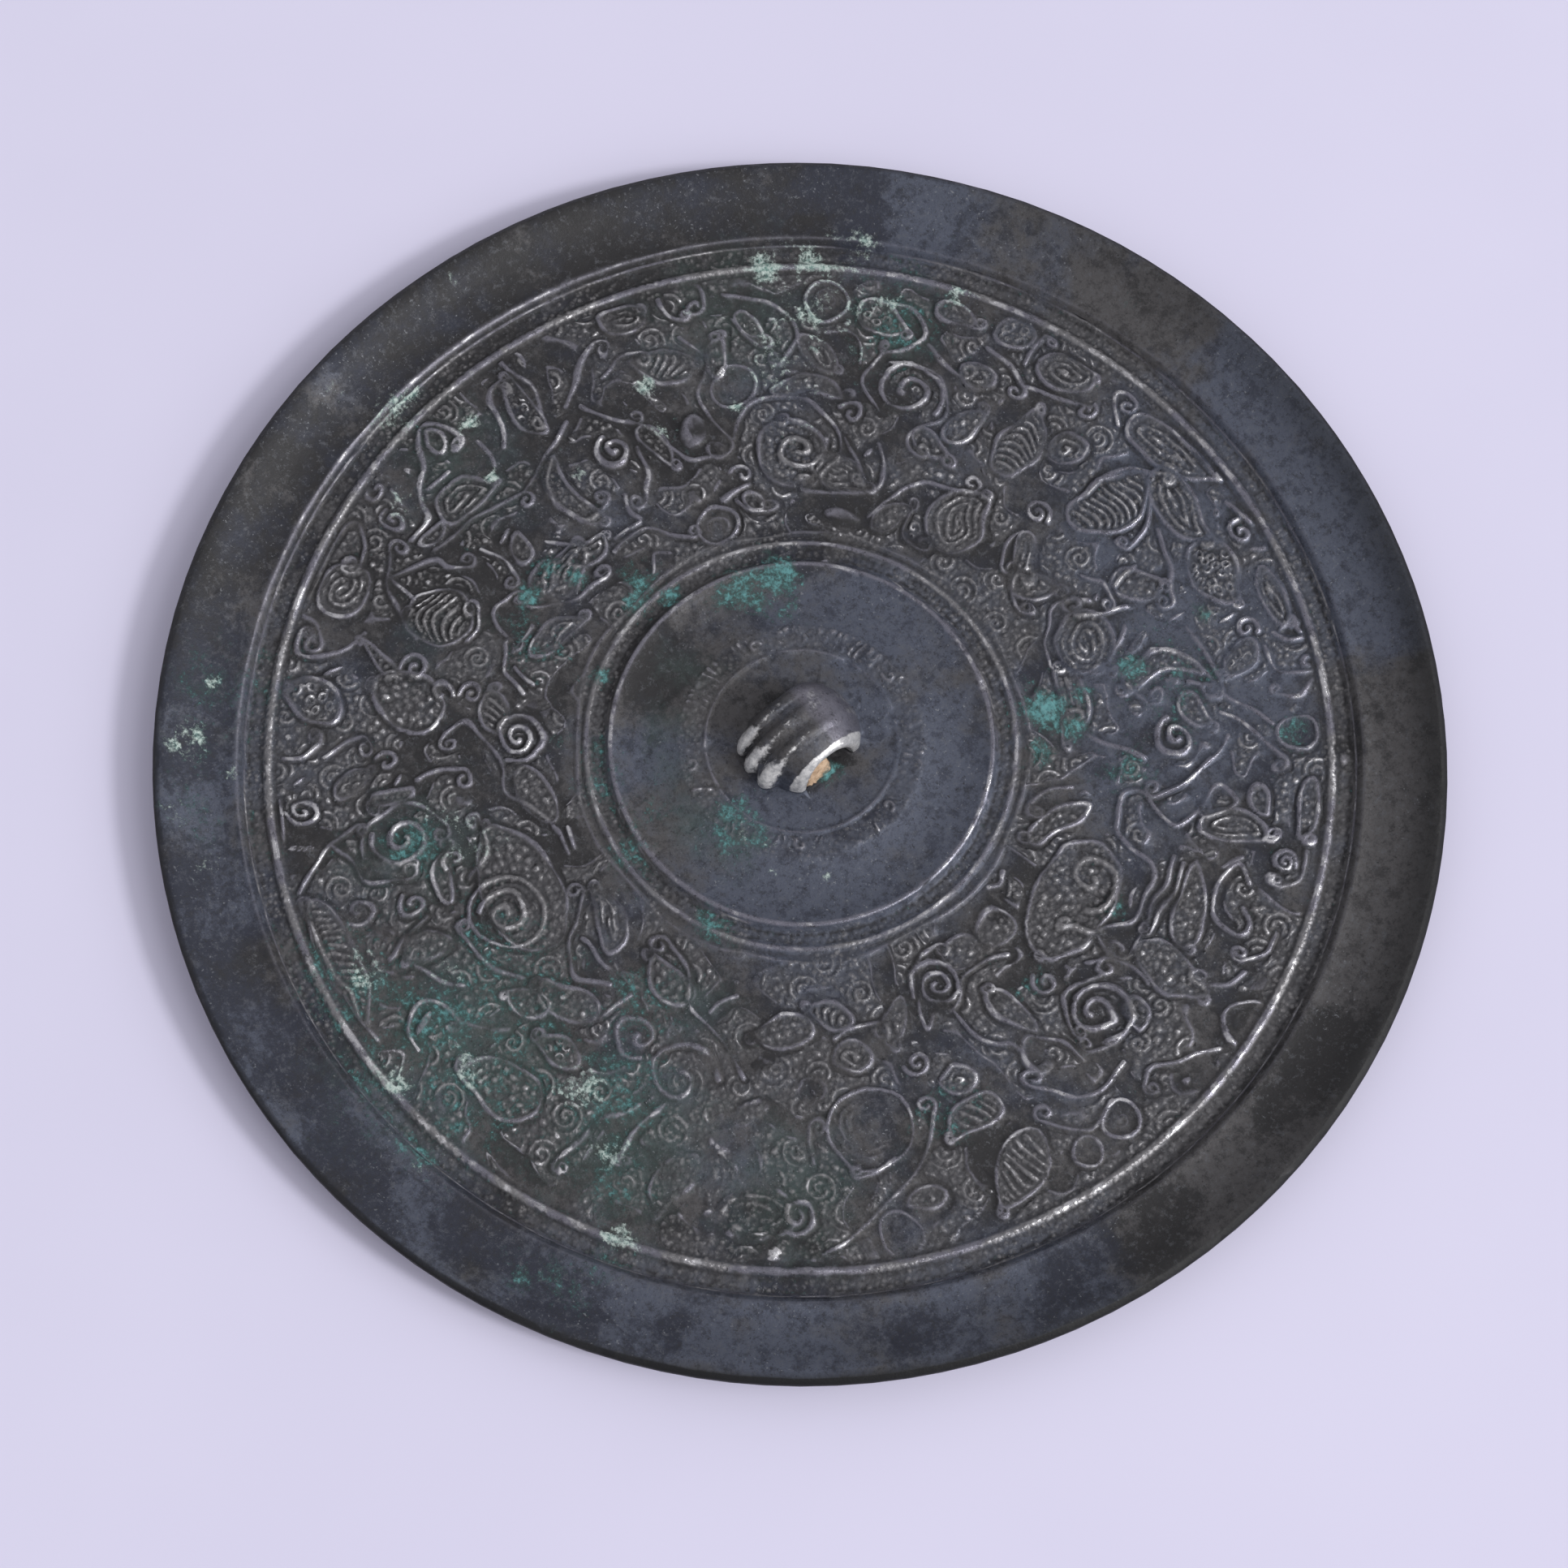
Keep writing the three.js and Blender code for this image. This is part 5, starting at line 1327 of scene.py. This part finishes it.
# %% [markdown]
# ## The finish and the frame
# The mesh takes the one finish all over. It rides on the only body, and it stands for the CAD
# solid.

# %% Finish and frame
mirror.data.materials.clear()
mirror.data.materials.append(bronze)
mirror.data.polygons.foreach_set("use_smooth", np.ones(len(mirror.data.polygons), bool))
mirror.data.polygons.foreach_set("material_index", np.zeros(len(mirror.data.polygons), np.int32))
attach(mirror, "root")
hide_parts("mirror")
print("finishes on the mirror:", [slot.name for slot in mirror.material_slots])

# %% [markdown]
# ## The paper it lies on
# The mirror lies on a plain sheet of pale paper with a lilac tone. The sheet is stage only and
# is not part of the model. It is large enough to fill the view from any side, and lies a hair
# below the polished face, so that the two flat faces don't flicker through each other.

# %% Paper
HALF_SHEET, HAIR = 8, 0.05 * MM
corners = [(-HALF_SHEET, -HALF_SHEET, 0), (HALF_SHEET, -HALF_SHEET, 0),
           (HALF_SHEET, HALF_SHEET, 0), (-HALF_SHEET, HALF_SHEET, 0)]
paper_mesh = bpy.data.meshes.new("paper")
paper_mesh.from_pydata(corners, [], [(0, 1, 2, 3)])
paper = bpy.data.objects.new("paper", paper_mesh)
paper.location.z = -HAIR
bpy.context.scene.collection.objects.link(paper)
finish, wire = new_material("pale_paper")
spot = wire.node("ShaderNodeTexCoord", output="Object")
tone = cloud(60, 3).between(0.3, 0.7)
tone = tone.mix((0.70, 0.672, 0.84, 1), (0.715, 0.687, 0.855, 1))
shader = wire.node("ShaderNodeBsdfPrincipled", None, {"Base Color": tone, "Roughness": 0.8})
wire.node("ShaderNodeOutputMaterial", None, {"Surface": shader})
paper_mesh.materials.append(finish)
print("paper:", 2 * HALF_SHEET, "m wide")

# %% [markdown]
# ## Light
# Two round soft boxes hang in the same direction, at the right of the view and about 40
# degrees up. The small one draws the bright lines on the ridges and a soft shadow at the
# left. The large one, almost as wide as it is far, fills those in. A pale room gives the
# rest, so that no hollow goes fully black. In Blender an area lamp shines along its own -Z
# axis, so its +Z is turned away from the mirror.

# %% Light
def from_direction(azimuth, elevation, distance):
    """A point that far off; azimuth is measured from +X towards +Y."""
    a, e = math.radians(azimuth), math.radians(elevation)
    return distance * Vector((math.cos(e) * math.cos(a), math.cos(e) * math.sin(a), math.sin(e)))


def soft_box(name, azimuth, elevation, distance, size, power):
    lamp = bpy.data.lights.new(name, "AREA")
    lamp.shape, lamp.size, lamp.energy = "DISK", size, power
    thing = bpy.data.objects.new(name, lamp)
    thing.location = from_direction(azimuth, elevation, distance)
    thing.rotation_mode = "QUATERNION"
    thing.rotation_quaternion = thing.location.to_track_quat("Z", "Y")
    bpy.context.scene.collection.objects.link(thing)
    print(name, "lamp:", power, "W from", [round(v, 2) for v in thing.location])


soft_box("key", 27, 38, 4, 0.7, 64)
soft_box("fill", 27, 40, 4, 3.4, 66)
world = bpy.data.worlds.new("room")
bpy.context.scene.world = world
world.use_nodes = True
room = world.node_tree.nodes["Background"].inputs
room["Color"].default_value, room["Strength"].default_value = (0.95, 0.95, 1.0, 1), 0.53

# %% [markdown]
# ## Camera
# The camera stands 0.4 m off, 70 degrees above the table, and looks a little across the
# tunnel. It is rolled by under 3 degrees, and shifted so that the mirror sits where it
# should in the frame without being turned. A lens of 74 mm keeps the circle's near side
# from swelling. The Standard view transform shows pale paper as pale: the default one
# would grey it and dull the blue of the film.

# %% Camera
IMAGE_SIDE = 1932
bpy.context.scene.view_settings.view_transform = "Standard"
lens = bpy.data.cameras.new("camera")
lens.sensor_width, lens.lens = 36, 74.13
camera = bpy.data.objects.new("camera", lens)
bpy.context.scene.collection.objects.link(camera)
bpy.context.scene.camera = camera
AZIMUTH, ELEVATION, ROLL, AWAY = -42.5, 70.4, 2.839, 0.4
middle = Vector((0, 0, 0.0045))
back = from_direction(AZIMUTH, ELEVATION, 1).normalized()
level = math.radians(AZIMUTH + 180)
up = Vector((math.cos(level), math.sin(level), 0))
right = up.cross(back).normalized()
up = back.cross(right).normalized()
turn = Matrix((right, up, back)).transposed() @ Matrix.Rotation(math.radians(ROLL), 3, "Z")
camera.matrix_world = Matrix.Translation(middle + AWAY * back) @ turn.to_4x4()
lens.shift_x, lens.shift_y = -22.1 / IMAGE_SIDE, -60.9 / IMAGE_SIDE
lens.clip_start, lens.clip_end = 0.01, 20
print("camera at", [round(v, 3) for v in camera.location])

# %% [markdown]
